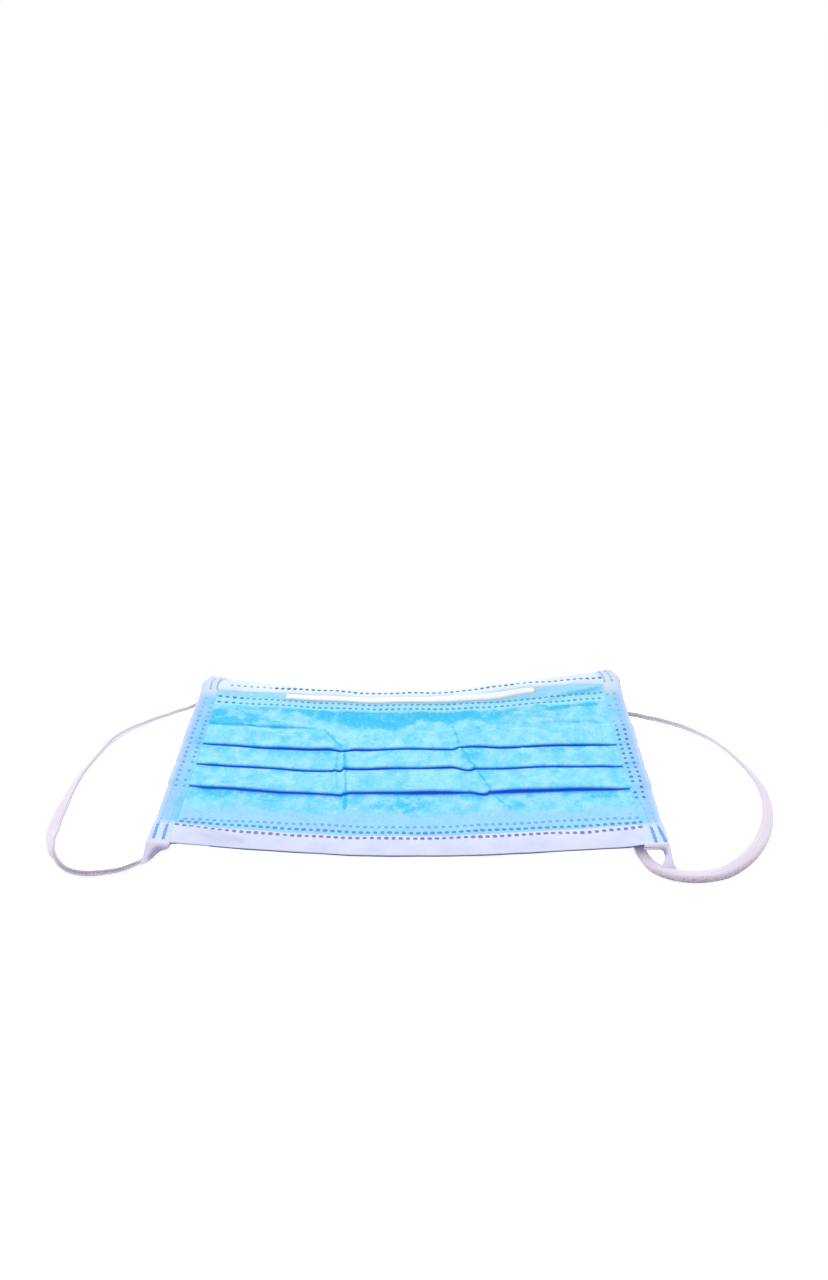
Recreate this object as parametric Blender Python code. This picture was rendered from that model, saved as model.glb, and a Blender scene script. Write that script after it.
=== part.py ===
# Flat-folded surgical face mask, lying with its outer side up.
# +X runs to the right, +Y from the chin edge to the nose edge, +Z up. Lengths are in metres.
# The origin is on the resting surface, under the middle of the folded mask without its ear loops.

import math

import bmesh
import bpy
from mathutils import Vector

# Sizes of the folded mask.
MASK_WIDTH = 0.176  # over the two side bindings
MASK_HEIGHT = 0.094  # nose edge to chin edge, pleats closed
WALL = 0.001  # one folded layer
LAYER_GAP = 0.0003  # air between two layers that lie on each other

# Pleats, counted from the nose edge.
PLEAT_COUNT = 3
FIRST_PLEAT = 0.0399  # nose edge to the first fold edge
PLEAT_SPACING = 0.0118
PLEAT_DEPTH = 0.009  # how far a pleat goes back under itself
RAMP = 0.0036  # run over which a panel climbs onto the next pleat
LAST_RAMP = 0.0043  # the same below the last pleat, to the level of the chin hem
RAMP_TUCK = 0.6  # where a climb ends past a pleat's back fold, as a share of that fold's radius

# Hems, nose strip and side bindings.
NOSE_HEM_DEPTH = 0.0076
CHIN_HEM_DEPTH = 0.0105
NOSE_WIRE_LENGTH = 0.104
NOSE_WIRE_WIDTH = 0.0033
NOSE_WIRE_THICKNESS = 0.0008
BINDING_WIDTH = 0.0076
BINDING_OVERRUN = 0.001  # how far a binding passes the chin edge
TAIL_LENGTH = 0.0055  # tail of a binding, past its end at the chin

# How the mask lies: the middle on the surface, the side edges a little up.
FLAT_HALF = 0.016  # half of the width that lies flat
EDGE_RISE = 0.0056
RISE_POWER = 1.25  # how the rise grows across the mask
RISE_ALONG_POWER = 1.5  # and from halfway to the corners along a side
NOSE_BOW = 0.0015  # how far the nose edge sags towards the chin in the middle
NOSE_RIDGE = 0.0018  # height of the swell along the nose strip
RIDGE_REACH = 0.024  # nose edge to the foot of that swell
CORNER_PULL = 0.0028  # rounding of the two nose corners
CORNER_REACH = 0.006
CORNER_START = 0.7  # where that rounding starts, as a share of the half width
CREASE_HEIGHT = 0.0005
CREASE_JOG = 0.0006
CREASE_HALF = 0.0028  # half of a storage crease's width

# Ear loops: a flat band 5.2 mm by 2 mm, as a round tube of about the same section.
LOOP_DIAMETER = 0.0032
LOOP_STEP = 0.008  # distance between the tube's points
LOOP_CLEARANCE = 0.0001  # under the tube

# Rise of each side edge, as shares of EDGE_RISE, at the nose, halfway and at the chin.
SIDE_RISES = {
    -1: {"nose": 1.05, "halfway": 0.66, "chin": 1.10},
    1: {"nose": 1.35, "halfway": 0.62, "chin": 0.95},
}

# Storage creases: place at the nose edge and at the chin edge, as shares of MASK_WIDTH.
CREASES = (
    {"nose": -0.225, "chin": -0.105},
    {"nose": 0.045, "chin": 0.235},
)

# The part of the height that the storage creases run over, and how long they fade, from the nose edge.
CREASE_SPAN = {"starts": 0.20, "ends": 0.86, "fade": 0.10}

# Sections of a binding's tail: shares of TAIL_LENGTH, BINDING_WIDTH, the fold's inner height and the droop.
TAIL_SECTIONS = (
    {"along": 0.25, "width": 0.78, "slot": 0.70, "droop": 0.25},
    {"along": 0.55, "width": 0.58, "slot": 0.36, "droop": 0.65},
    {"along": 0.80, "width": 0.52, "slot": 0.16, "droop": 0.92},
    {"along": 1.00, "width": 0.50, "slot": 0.10, "droop": 1.00},
)

# Routes of the ear loops on the surface, from the nose corner round to the chin corner.
LEFT_LOOP_ROUTE = (
    (-0.0826, 0.0452),
    (-0.0862, 0.0400),
    (-0.0930, 0.0350),
    (-0.1035, 0.0294),
    (-0.1125, 0.0232),
    (-0.1182, 0.0148),
    (-0.1218, 0.0038),
    (-0.1242, -0.0078),
    (-0.1252, -0.0183),
    (-0.1246, -0.0288),
    (-0.1220, -0.0393),
    (-0.1165, -0.0471),
    (-0.1075, -0.0513),
    (-0.0975, -0.0515),
    (-0.0900, -0.0482),
    (-0.0860, -0.0430),
    (-0.0840, -0.0372),
)
RIGHT_LOOP_ROUTE = (
    (0.0836, 0.0398),
    (0.0858, 0.0336),
    (0.0916, 0.0294),
    (0.1010, 0.0272),
    (0.1105, 0.0236),
    (0.1185, 0.0180),
    (0.1244, 0.0090),
    (0.1286, -0.0003),
    (0.1305, -0.0098),
    (0.1299, -0.0193),
    (0.1268, -0.0283),
    (0.1216, -0.0369),
    (0.1156, -0.0445),
    (0.1080, -0.0504),
    (0.0985, -0.0534),
    (0.0892, -0.0518),
    (0.0822, -0.0474),
    (0.0782, -0.0412),
    (0.0778, -0.0350),
)

# Steps of the meshes.
ARC_STEPS = 4
FOLD_STEPS = 6
HEM_STEPS = 3
WIRE_STEPS = 2
STEPS_ACROSS = 18
CORNER_STEPS = 4
BINDING_STEPS = 14
RAMP_STEPS = 4
ROUTE_STEPS = 20

# Places that follow from the sizes.
HALF_WIDTH = MASK_WIDTH / 2
LEVEL = WALL + LAYER_GAP
STACK = 3 * WALL + 2 * LAYER_GAP
LOW, MIDDLE, HIGH = WALL / 2, WALL / 2 + LEVEL, WALL / 2 + 2 * LEVEL
NOSE_Y = (MASK_HEIGHT + BINDING_OVERRUN + TAIL_LENGTH) / 2
CHIN_Y = NOSE_Y - MASK_HEIGHT
BINDING_END_Y = CHIN_Y - BINDING_OVERRUN
BINDING_HALF = STACK / 2 + LAYER_GAP + WALL
BODY_HALF_WIDTH = HALF_WIDTH - BINDING_HALF


def clamp(value, low=0.0, high=1.0):
    return max(low, min(high, value))


def ease(value):
    value = clamp(value)
    return value * value * (3 - 2 * value)


def rise_at(x, y):
    """How far the side edges' lift raises the mask here."""
    out = clamp((abs(x) - FLAT_HALF) / (HALF_WIDTH - FLAT_HALF)) ** RISE_POWER
    shares = SIDE_RISES[-1 if x < 0 else 1]
    along = clamp((y - (NOSE_Y + CHIN_Y) / 2) / (MASK_HEIGHT / 2), -1, 1)
    corner = shares["nose"] if along > 0 else shares["chin"]
    share = shares["halfway"] + (corner - shares["halfway"]) * abs(along) ** RISE_ALONG_POWER
    return EDGE_RISE * share * out


def ridge_at(x, y):
    """Height of the swell that the nose strip gives the upper edge."""
    down = clamp((NOSE_Y - y) / RIDGE_REACH)
    across = clamp(1 - (x / HALF_WIDTH) ** 2)
    return NOSE_RIDGE * math.sin(math.pi * down) ** 2 * across


def lie(x, y, z):
    """The place of a point of the flat mask once it lies with its edges up."""
    near_nose = clamp((y - NOSE_Y + FIRST_PLEAT) / FIRST_PLEAT)
    bow = NOSE_BOW * clamp(1 - (x / HALF_WIDTH) ** 2) * near_nose
    corner = clamp((y - NOSE_Y + CORNER_REACH) / CORNER_REACH) ** 2
    outer = clamp((abs(x) / HALF_WIDTH - CORNER_START) / (1 - CORNER_START))
    pulled = math.copysign(abs(x) - CORNER_PULL * corner * outer, x)
    return Vector((pulled, y - bow, z + rise_at(x, y) + ridge_at(x, y)))


def crease_fade(down):
    """How much of a crease shows, from the nose edge (0) to the chin edge (1): none at the hems."""
    fade_in = ease((down - CREASE_SPAN["starts"]) / CREASE_SPAN["fade"])
    fade_out = ease((CREASE_SPAN["ends"] - down) / CREASE_SPAN["fade"])
    return fade_in * fade_out


def with_normals(path):
    """Pairs of a path's points and their left-hand unit normals."""
    pairs = []
    for i, point in enumerate(path):
        before = path[max(i - 1, 0)]
        after = path[min(i + 1, len(path) - 1)]
        run = Vector((after[0] - before[0], after[1] - before[1])).normalized()
        pairs.append((point, (-run.y, run.x)))
    return pairs


def arc(center, radius, start, end, steps):
    """Points of an arc in a section, angles in degrees."""
    angles = [math.radians(start + (end - start) * i / steps) for i in range(steps + 1)]
    return [(center[0] + radius * math.cos(a), center[1] + radius * math.sin(a)) for a in angles]


def sheet(name, sections, color, roughness):
    """A closed sheet through sections, each a list of (outer point, inner point) pairs."""
    mesh = bpy.data.meshes.new(name)
    bm = bmesh.new()
    rows = [[(bm.verts.new(outer), bm.verts.new(inner)) for outer, inner in section] for section in sections]
    last = len(rows[0]) - 1
    for here, there in zip(rows, rows[1:]):
        for i in range(last):
            bm.faces.new((here[i][0], there[i][0], there[i + 1][0], here[i + 1][0]))
            bm.faces.new((here[i][1], here[i + 1][1], there[i + 1][1], there[i][1]))
        for i in (0, last):
            bm.faces.new((here[i][0], here[i][1], there[i][1], there[i][0]))
    for row in (rows[0], rows[-1]):
        for i in range(last):
            bm.faces.new((row[i][0], row[i + 1][0], row[i + 1][1], row[i][1]))
    bmesh.ops.recalc_face_normals(bm, faces=bm.faces)
    bm.to_mesh(mesh)
    bm.free()
    mesh.shade_smooth()
    mesh.set_sharp_from_angle(angle=math.radians(40))
    piece = bpy.data.objects.new(name, mesh)
    bpy.context.scene.collection.objects.link(piece)
    paint(piece, color, roughness)
    return piece


def paint(piece, color, roughness):
    material = bpy.data.materials.new(piece.name)
    material.use_nodes = True
    shader = material.node_tree.nodes["Principled BSDF"]
    shader.inputs["Base Color"].default_value = (*color, 1)
    shader.inputs["Roughness"].default_value = roughness
    shader.inputs["Metallic"].default_value = 0
    piece.data.materials.append(material)


def mask_stations():
    """Places across the mask: x at the nose edge, x at the chin edge, and whether a crease runs there."""
    slants = [(c["nose"] * MASK_WIDTH, c["chin"] * MASK_WIDTH) for c in CREASES]
    places = []
    for x in spread(-BODY_HALF_WIDTH, BODY_HALF_WIDTH, STEPS_ACROSS):
        if not any(min(slant) - CREASE_HALF < x < max(slant) + CREASE_HALF for slant in slants):
            places.append((x, x, False))
    for nose, chin in slants:
        for side in (-1, 0, 1):
            places.append((nose + side * CREASE_HALF, chin + side * CREASE_HALF, side == 0))
    return sorted(places)


def swept_across(name, path, wall, stations, color, roughness):
    """A sheet of one section in Y and Z, swept across the mask."""
    sections = []
    for at_nose, at_chin, is_crease in stations:
        section = []
        for (y, z), (ny, nz) in with_normals(path):
            pair = []
            for side in (0.5, -0.5):
                place_y = y + ny * wall * side
                place_z = z + nz * wall * side
                down = clamp((NOSE_Y - place_y) / MASK_HEIGHT)
                x = at_nose + (at_chin - at_nose) * down
                point = lie(x, place_y, place_z)
                if is_crease:
                    point += Vector((0, -CREASE_JOG, CREASE_HEIGHT)) * crease_fade(down)
                pair.append(point)
            section.append(tuple(pair))
        sections.append(section)
    return sheet(name, sections, color, roughness)


def spread(start, end, steps):
    """Even places from start to end, both included."""
    return [start + (end - start) * i / steps for i in range(steps + 1)]


def s_ramp(start, end):
    """A smooth climb in a section from one point to another."""
    places = spread(start[0], end[0], RAMP_STEPS)
    climbs = [ease(share) for share in spread(0, 1, RAMP_STEPS)]
    return [(y, start[1] + (end[1] - start[1]) * climb) for y, climb in zip(places, climbs)]


def body_path():
    """The folded sheet's middle line, from the nose edge to the chin edge."""
    turn = LEVEL / 2
    tip = turn + WALL / 2
    hem_inset = STACK / 2
    wire_top = NOSE_Y - NOSE_HEM_DEPTH - LAYER_GAP
    under_hem = spread(NOSE_Y - hem_inset, NOSE_Y - NOSE_HEM_DEPTH, HEM_STEPS)
    under_wire = spread(wire_top, wire_top - NOSE_WIRE_WIDTH, WIRE_STEPS)
    first_ramp = NOSE_Y - FIRST_PLEAT + PLEAT_DEPTH - tip * RAMP_TUCK + RAMP
    below_wire = spread(wire_top - NOSE_WIRE_WIDTH, first_ramp, HEM_STEPS)[1:-1]
    path = [(y, MIDDLE) for y in (*under_hem, *under_wire, *below_wire)]
    level = MIDDLE
    for i in range(PLEAT_COUNT):
        fold = NOSE_Y - FIRST_PLEAT - i * PLEAT_SPACING
        back = fold + PLEAT_DEPTH
        ramp_end = back - tip * RAMP_TUCK
        path += s_ramp((ramp_end + RAMP, level), (ramp_end, HIGH))
        path += arc((fold + tip, MIDDLE + turn), turn, 90, 270, ARC_STEPS)
        path += arc((back - tip, LOW + turn), turn, 90, -90, ARC_STEPS)
        level = LOW
    lowest = NOSE_Y - FIRST_PLEAT - (PLEAT_COUNT - 1) * PLEAT_SPACING
    path += s_ramp((lowest, LOW), (lowest - LAST_RAMP, MIDDLE))
    path += [(y, MIDDLE) for y in spread(CHIN_Y + CHIN_HEM_DEPTH, CHIN_Y + hem_inset, HEM_STEPS)]
    return path


def hem_path(edge_y, depth, inward):
    """A strip folded over an edge: its upper flap, the fold and its lower flap."""
    fold_y = edge_y + inward * STACK / 2
    fold = arc((fold_y, MIDDLE), LEVEL, 90, 90 + inward * 180, FOLD_STEPS)
    flap_ys = spread(edge_y + inward * depth, fold_y, HEM_STEPS)[:-1]
    return [*((y, HIGH) for y in flap_ys), *fold, *((y, LOW) for y in reversed(flap_ys))]


def make_body():
    swept_across("pleated_body", body_path(), WALL, mask_stations(), (0.16, 0.66, 0.93), 0.85)


def make_hems():
    nose = hem_path(NOSE_Y, NOSE_HEM_DEPTH, -1)
    chin = hem_path(CHIN_Y, CHIN_HEM_DEPTH, 1)
    swept_across("nose_hem", nose, WALL, mask_stations(), (0.74, 0.86, 0.95), 0.85)
    swept_across("chin_hem", chin, WALL, mask_stations(), (0.78, 0.83, 0.94), 0.85)


def make_nose_wire():
    """The flat nose strip, seated on the body just below the upper hem."""
    top = NOSE_Y - NOSE_HEM_DEPTH - LAYER_GAP
    z = MIDDLE + WALL / 2 + LAYER_GAP + NOSE_WIRE_THICKNESS / 2
    path = [(y, z) for y in spread(top, top - NOSE_WIRE_WIDTH, WIRE_STEPS)]
    half = NOSE_WIRE_LENGTH / 2
    inner = [place for place in mask_stations() if max(abs(place[0]), abs(place[1])) < half]
    stations = [(-half, -half, False), *inner, (half, half, False)]
    swept_across("nose_wire", path, NOSE_WIRE_THICKNESS, stations, (0.92, 0.92, 0.88), 0.5)


def binding_section(side, y, width_share=1, slot_share=1, z_middle=None):
    """Pairs of points round one binding, at z_middle if given: upper strip, outer fold, lower strip."""
    slot = (BINDING_HALF - WALL) * slot_share
    outer = slot + WALL
    center_u = HALF_WIDTH - outer
    strip_u = HALF_WIDTH - BINDING_WIDTH * width_share
    rim = [(strip_u, outer, strip_u, slot)]
    for i in range(FOLD_STEPS + 1):
        angle = math.radians(90 - 180 * i / FOLD_STEPS)
        ru, rz = math.cos(angle), math.sin(angle)
        rim.append((center_u + outer * ru, outer * rz, center_u + slot * ru, slot * rz))
    rim.append((strip_u, -outer, strip_u, -slot))
    pairs = []
    for outer_u, outer_z, inner_u, inner_z in rim:
        pair = (lie(side * outer_u, y, STACK / 2 + outer_z), lie(side * inner_u, y, STACK / 2 + inner_z))
        if z_middle is not None:
            pair[0].z = z_middle + outer_z
            pair[1].z = z_middle + inner_z
        pairs.append(pair)
    return pairs


def make_binding(name, side):
    """A side binding, folded round the edge, and its tail past the chin corner."""
    corner = spread(NOSE_Y, NOSE_Y - CORNER_REACH, CORNER_STEPS)
    straight = spread(NOSE_Y - CORNER_REACH, BINDING_END_Y, BINDING_STEPS)[1:]
    sections = [binding_section(side, y) for y in (*corner, *straight)]
    root_z = lie(side * HALF_WIDTH, BINDING_END_Y, 0).z + STACK / 2
    tail_half = (BINDING_HALF - WALL) * TAIL_SECTIONS[-1]["slot"] + WALL
    rest_z = LOOP_DIAMETER + LOOP_CLEARANCE + LAYER_GAP + tail_half
    for row in TAIL_SECTIONS:
        y = BINDING_END_Y - TAIL_LENGTH * row["along"]
        z = root_z + (rest_z - root_z) * row["droop"]
        sections.append(binding_section(side, y, row["width"], row["slot"], z))
    return sheet(name, sections, (0.33, 0.68, 0.9), 0.85)


def smooth_route(route, step):
    """Points at even steps along a smooth curve through the route's points."""
    ends = [2 * Vector(route[0]) - Vector(route[1]), 2 * Vector(route[-1]) - Vector(route[-2])]
    points = [ends[0], *(Vector(p) for p in route), ends[1]]
    fine = []
    for a, b, c, d in zip(points, points[1:], points[2:], points[3:]):
        for t in spread(0, 1, ROUTE_STEPS)[:-1]:
            square = (2 * a - 5 * b + 4 * c - d) * t**2
            cube = (3 * b - a - 3 * c + d) * t**3
            fine.append(0.5 * (2 * b + (c - a) * t + square + cube))
    fine.append(Vector(route[-1]))
    total = sum((b - a).length for a, b in zip(fine, fine[1:]))
    count = round(total / step)
    picked, walked, wanted = [], 0.0, 0.0
    for a, b in zip(fine, fine[1:]):
        run = (b - a).length
        while walked + run >= wanted and len(picked) < count:
            picked.append(a.lerp(b, (wanted - walked) / run))
            wanted += total / count
        walked += run
    return [*picked, fine[-1]]


def make_loop(name, route):
    curve = bpy.data.curves.new(name, "CURVE")
    curve.dimensions = "3D"
    curve.bevel_depth = LOOP_DIAMETER / 2
    curve.bevel_resolution = 2
    curve.use_fill_caps = True
    points = smooth_route(route, LOOP_STEP)
    spline = curve.splines.new("POLY")
    spline.points.add(len(points) - 1)
    for place, point in zip(spline.points, points):
        place.co = (point.x, point.y, LOOP_DIAMETER / 2 + LOOP_CLEARANCE, 1)
    loop = bpy.data.objects.new(name, curve)
    bpy.context.scene.collection.objects.link(loop)
    paint(loop, (0.86, 0.82, 0.92), 0.9)
    return loop


def main():
    for old in list(bpy.data.objects):
        bpy.data.objects.remove(old)
    make_body()
    make_hems()
    make_nose_wire()
    make_binding("side_binding_left", -1)
    make_binding("side_binding_right", 1)
    make_loop("ear_loop_left", LEFT_LOOP_ROUTE)
    make_loop("ear_loop_right", RIGHT_LOOP_ROUTE)


main()
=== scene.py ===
import math

import bmesh
import bpy
import numpy as np
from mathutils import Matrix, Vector
from mathutils.bvhtree import BVHTree


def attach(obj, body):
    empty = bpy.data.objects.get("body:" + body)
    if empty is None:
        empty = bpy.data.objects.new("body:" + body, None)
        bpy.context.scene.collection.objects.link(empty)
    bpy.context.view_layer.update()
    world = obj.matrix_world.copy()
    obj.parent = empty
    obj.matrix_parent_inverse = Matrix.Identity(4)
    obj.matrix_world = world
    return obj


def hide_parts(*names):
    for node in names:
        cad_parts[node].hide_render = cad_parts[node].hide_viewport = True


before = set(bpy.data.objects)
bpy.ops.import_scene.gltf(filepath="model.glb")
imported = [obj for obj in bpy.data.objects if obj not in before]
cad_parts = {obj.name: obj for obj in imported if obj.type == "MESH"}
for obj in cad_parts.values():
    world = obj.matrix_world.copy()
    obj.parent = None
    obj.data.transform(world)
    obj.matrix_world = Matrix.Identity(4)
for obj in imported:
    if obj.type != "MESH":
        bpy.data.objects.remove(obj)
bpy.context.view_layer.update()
scene = bpy.context.scene

# All sizes are in metres. x runs across the mask, y from the chin edge to the nose edge, z up from the table.
cameraView = {
    "lens": 23.81,
    "eye": (0.00435, -0.24048, 0.22188),
    "turn": (56.112, 0.275, 0.349),  # degrees
}

maskShape = {
    "halfWidth": 0.088,
    "noseY": 0.05025,
    "chinY": -0.04375,
    "flatHalf": 0.016,  # middle part that lies flat on the table
    "edgeRise": 0.0056,
    "risePower": 1.25,
    "riseAlong": 1.5,
    "leftRises": (1.20, 0.66, 1.10),  # nose corner, halfway, chin corner
    "rightRises": (1.70, 0.62, 0.95),
    "noseBow": 0.0012,
    "bowReach": 0.0399,
    "noseRidge": 0.0026,
    "ridgeReach": 0.024,
    "ridgePower": 0.75,
    "noseCurl": 0.0015,
    "curlLine": ((0, 0), (0.045, 1), (0.060, 0.8), (0.088, 0.3)),  # share of the curl, across the mask
    "curlStart": 0.037,
    "curlReach": 0.009,
    "cornerPull": 0.0028,
    "cornerReach": 0.006,
    "cornerStart": 0.7,
}


def ease(value):
    value = np.clip(value, 0, 1)
    return value * value * (3 - 2 * value)


def between(x, knots):
    # a smooth line through (place, value) knots
    places, values = np.array(knots, float).T
    at = np.clip(np.searchsorted(places, x) - 1, 0, len(places) - 2)
    share = np.clip((x - places[at]) / (places[at + 1] - places[at]), 0, 1)
    return values[at] + (values[at + 1] - values[at]) * ease(share)


def near(value, center, reach):
    return np.exp(-(((value - center) / reach) ** 2))


def window(value, start, rise, end, fall):
    # 1 from start to end, eased in and out
    return ease((value - start) / rise) * ease((end - value) / fall)


def walkedAlong(points):
    # how far along a line of points each point lies
    return np.concatenate([[0], np.cumsum(np.linalg.norm(np.diff(points, axis=0), axis=1))])


def riseAt(x, y):
    shape = maskShape
    out = np.clip((np.abs(x) - shape["flatHalf"]) / (shape["halfWidth"] - shape["flatHalf"]), 0, 1)
    middle = (shape["noseY"] + shape["chinY"]) / 2
    along = np.clip((y - middle) / (shape["noseY"] - middle), -1, 1)
    left, right = shape["leftRises"], shape["rightRises"]
    nose, halfway, chin = (np.where(x < 0, left[i], right[i]) for i in range(3))
    corner = np.where(along > 0, nose, chin)
    share = halfway + (corner - halfway) * np.abs(along) ** shape["riseAlong"]
    return shape["edgeRise"] * share * out ** shape["risePower"]


def crown(x):
    # 1 in the middle of the mask, 0 at its side edges
    return np.clip(1 - (x / maskShape["halfWidth"]) ** 2, 0, 1)


def ridgeAt(x, y):
    # the swollen nose band, and the far edge that curls up towards the right corner
    shape = maskShape
    down = np.clip((shape["noseY"] - y) / shape["ridgeReach"], 0, 1) ** shape["ridgePower"]
    curl = between(x, shape["curlLine"]) * ease((y - shape["curlStart"]) / shape["curlReach"])
    return shape["noseRidge"] * np.sin(math.pi * down) ** 2 * crown(x) + shape["noseCurl"] * curl


def laid(x, y, z):
    # a point of the flat mask as it lies on the table
    shape = maskShape
    x, y, z = np.broadcast_arrays(*(np.asarray(value, float) for value in (x, y, z)))
    bow = shape["noseBow"] * crown(x) * np.clip(1 - (shape["noseY"] - y) / shape["bowReach"], 0, 1)
    corner = np.clip(1 - (shape["noseY"] - y) / shape["cornerReach"], 0, 1) ** 2
    out = np.abs(x)
    outer = np.clip((out / shape["halfWidth"] - shape["cornerStart"]) / (1 - shape["cornerStart"]), 0, 1)
    pulled = np.sign(x) * (out - shape["cornerPull"] * corner * outer)
    return np.stack([pulled, y - bow, z + riseAt(x, y) + ridgeAt(x, y)], axis=-1)


def makeCamera():
    data = bpy.data.cameras.new("camera")
    data.lens = cameraView["lens"]
    data.sensor_width = 36
    data.clip_start = 0.01
    camera = bpy.data.objects.new("camera", data)
    camera.location = cameraView["eye"]
    camera.rotation_euler = [math.radians(angle) for angle in cameraView["turn"]]
    scene.collection.objects.link(camera)
    scene.camera = camera


makeCamera()
print("camera placed")


# Shader helpers
lightLevel = 1.32  # how brightly the stage lights a white sheet on the table


def fill(tree, node, values):
    # each named socket takes a link from another node, or a fixed value
    for name, value in values.items():
        if isinstance(value, bpy.types.NodeSocket):
            tree.links.new(value, node.inputs[name])
        else:
            node.inputs[name].default_value = value


def put(tree, kind, sockets=None, **settings):
    made = tree.nodes.new(kind)
    for name, value in settings.items():
        setattr(made, name, value)
    fill(tree, made, sockets or {})
    return made


def calc(tree, operation, *values):
    return put(tree, "ShaderNodeMath", dict(enumerate(values)), operation=operation).outputs[0]


def remap(tree, value, low, high, toLow=0.0, toHigh=1.0):
    sockets = {"Value": value, "From Min": low, "From Max": high, "To Min": toLow, "To Max": toHigh}
    return put(tree, "ShaderNodeMapRange", sockets, interpolation_type="SMOOTHSTEP").outputs["Result"]


def mixed(tree, share, first, second):
    return put(tree, "ShaderNodeMix", {0: share, 6: first, 7: second}, data_type="RGBA").outputs[2]


def noise(tree, place, scale, detail, roughness=0.5, distortion=0.0):
    return put(tree, "ShaderNodeTexNoise", {
        "Vector": place, "Scale": scale, "Detail": detail, "Roughness": roughness, "Distortion": distortion,
    }).outputs["Fac"]


def objectPlace(tree):
    return put(tree, "ShaderNodeTexCoord").outputs["Object"]


def attribute(tree, name):
    return put(tree, "ShaderNodeAttribute", attribute_name=name).outputs["Fac"]


def addRelief(tree, surface, height, distance, strength):
    relief = put(tree, "ShaderNodeBump", {"Height": height, "Distance": distance, "Strength": strength})
    tree.links.new(relief.outputs[0], surface.inputs["Normal"])


def color(red, green, blue):
    # the share of light that a surface sends back to look like this on the screen, 0 to 255
    shares = []
    for value in (red, green, blue):
        value /= 255
        linear = value / 12.92 if value < 0.04045 else ((value + 0.055) / 1.055) ** 2.4
        shares.append(min(linear / lightLevel, 0.92))
    return (*shares, 1)


def newGroup(name, kind, inputs, outputs):
    group = bpy.data.node_groups.new(name, kind)
    for label, socketType, value in inputs:
        socket = group.interface.new_socket(label, in_out="INPUT", socket_type=socketType)
        if value is not None:
            socket.default_value = value
    for label, socketType in outputs:
        group.interface.new_socket(label, in_out="OUTPUT", socket_type=socketType)
    return group, put(group, "NodeGroupInput").outputs, put(group, "NodeGroupOutput")


def makeClothGrain():
    # bonded fibre cloth: cloudy fibre density, loose fibres and the small points where it is pressed
    inputs = (
        ("Position", "NodeSocketVector", None),
        ("Cloud Size", "NodeSocketFloat", 0.011),
        ("Fibre Size", "NodeSocketFloat", 0.0011),
        ("Point Pitch", "NodeSocketFloat", 0.0011),
    )
    outputs = [(label, "NodeSocketFloat") for label in ("Cloud", "Fibre", "Points", "Height")]
    group, given, result = newGroup("clothGrain", "ShaderNodeTree", inputs, outputs)

    def scaled(place, scale):
        return put(group, "ShaderNodeVectorMath", {0: place, "Scale": scale}, operation="SCALE").outputs[0]

    def sized(socket, stretch):
        stretched = put(group, "ShaderNodeVectorMath", {0: given["Position"], 1: stretch}, operation="MULTIPLY")
        return scaled(stretched.outputs[0], calc(group, "DIVIDE", 1.0, given[socket]))

    clouds = noise(group, sized("Cloud Size", (0.9, 0.95, 1.0)), 1.0, 5.0, 0.66)
    fibre = noise(group, sized("Fibre Size", (1.2, 1.05, 1.0)), 1.0, 3.0, 0.7, 0.8)
    patches = noise(group, sized("Cloud Size", (1.6, 1.6, 1.6)), 1.0, 1.0)
    parts = put(group, "ShaderNodeSeparateXYZ", {0: scaled(sized("Point Pitch", (1, 1, 1)), math.pi)}).outputs
    wave = calc(group, "MULTIPLY", calc(group, "SINE", parts[0]), calc(group, "SINE", parts[1]))
    points = calc(group, "MULTIPLY", remap(group, wave, 0.45, 0.85), remap(group, patches, 0.42, 0.62))
    cloud = remap(group, clouds, 0.3, 0.7)
    height = calc(group, "MULTIPLY_ADD", fibre, 0.5, cloud)
    height = calc(group, "MULTIPLY_ADD", points, -0.35, height)
    fill(group, result, {"Cloud": cloud, "Fibre": fibre, "Points": points, "Height": height})
    return group


clothGrain = makeClothGrain()


def newMaterial(name):
    material = bpy.data.materials.new(name)
    material.use_nodes = True
    tree = material.node_tree
    tree.nodes.clear()
    surface = put(tree, "ShaderNodeBsdfPrincipled")
    put(tree, "ShaderNodeOutputMaterial", {"Surface": surface.outputs[0]})
    return material, tree, surface


def grainOf(tree, cloud):
    sockets = {"Position": objectPlace(tree), "Cloud Size": cloud}
    return put(tree, "ShaderNodeGroup", sockets, node_tree=clothGrain).outputs


def finishCloth(tree, surface, base, height, bump=0.00012, roughness=0.82, sheen=0.08):
    fill(tree, surface, {
        "Base Color": base, "Roughness": roughness, "Specular IOR Level": 0.2,
        "Sheen Weight": sheen, "Sheen Roughness": 0.6,
    })
    addRelief(tree, surface, height, bump, 0.6)


outerLook = {
    "cloudSize": 0.0048,
    "foldGlow": (0.0, 0.045, 0.25, 1),  # painted glow in the folds, standing in for light that comes through the thin cloth
    "plain": (108, 214, 252),
    "light": (160, 236, 254),
    "deep": (44, 200, 250),
    "pale": (158, 217, 252),
    "band": (163, 236, 254),
    # painted shadow colour inside the folds and just in front of their lips
    "crease": (0, 74, 222),
    # painted shadow below the nose strip
    "wireShadow": (140, 205, 248),
    "fleck": (206, 246, 254),
}


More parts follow.
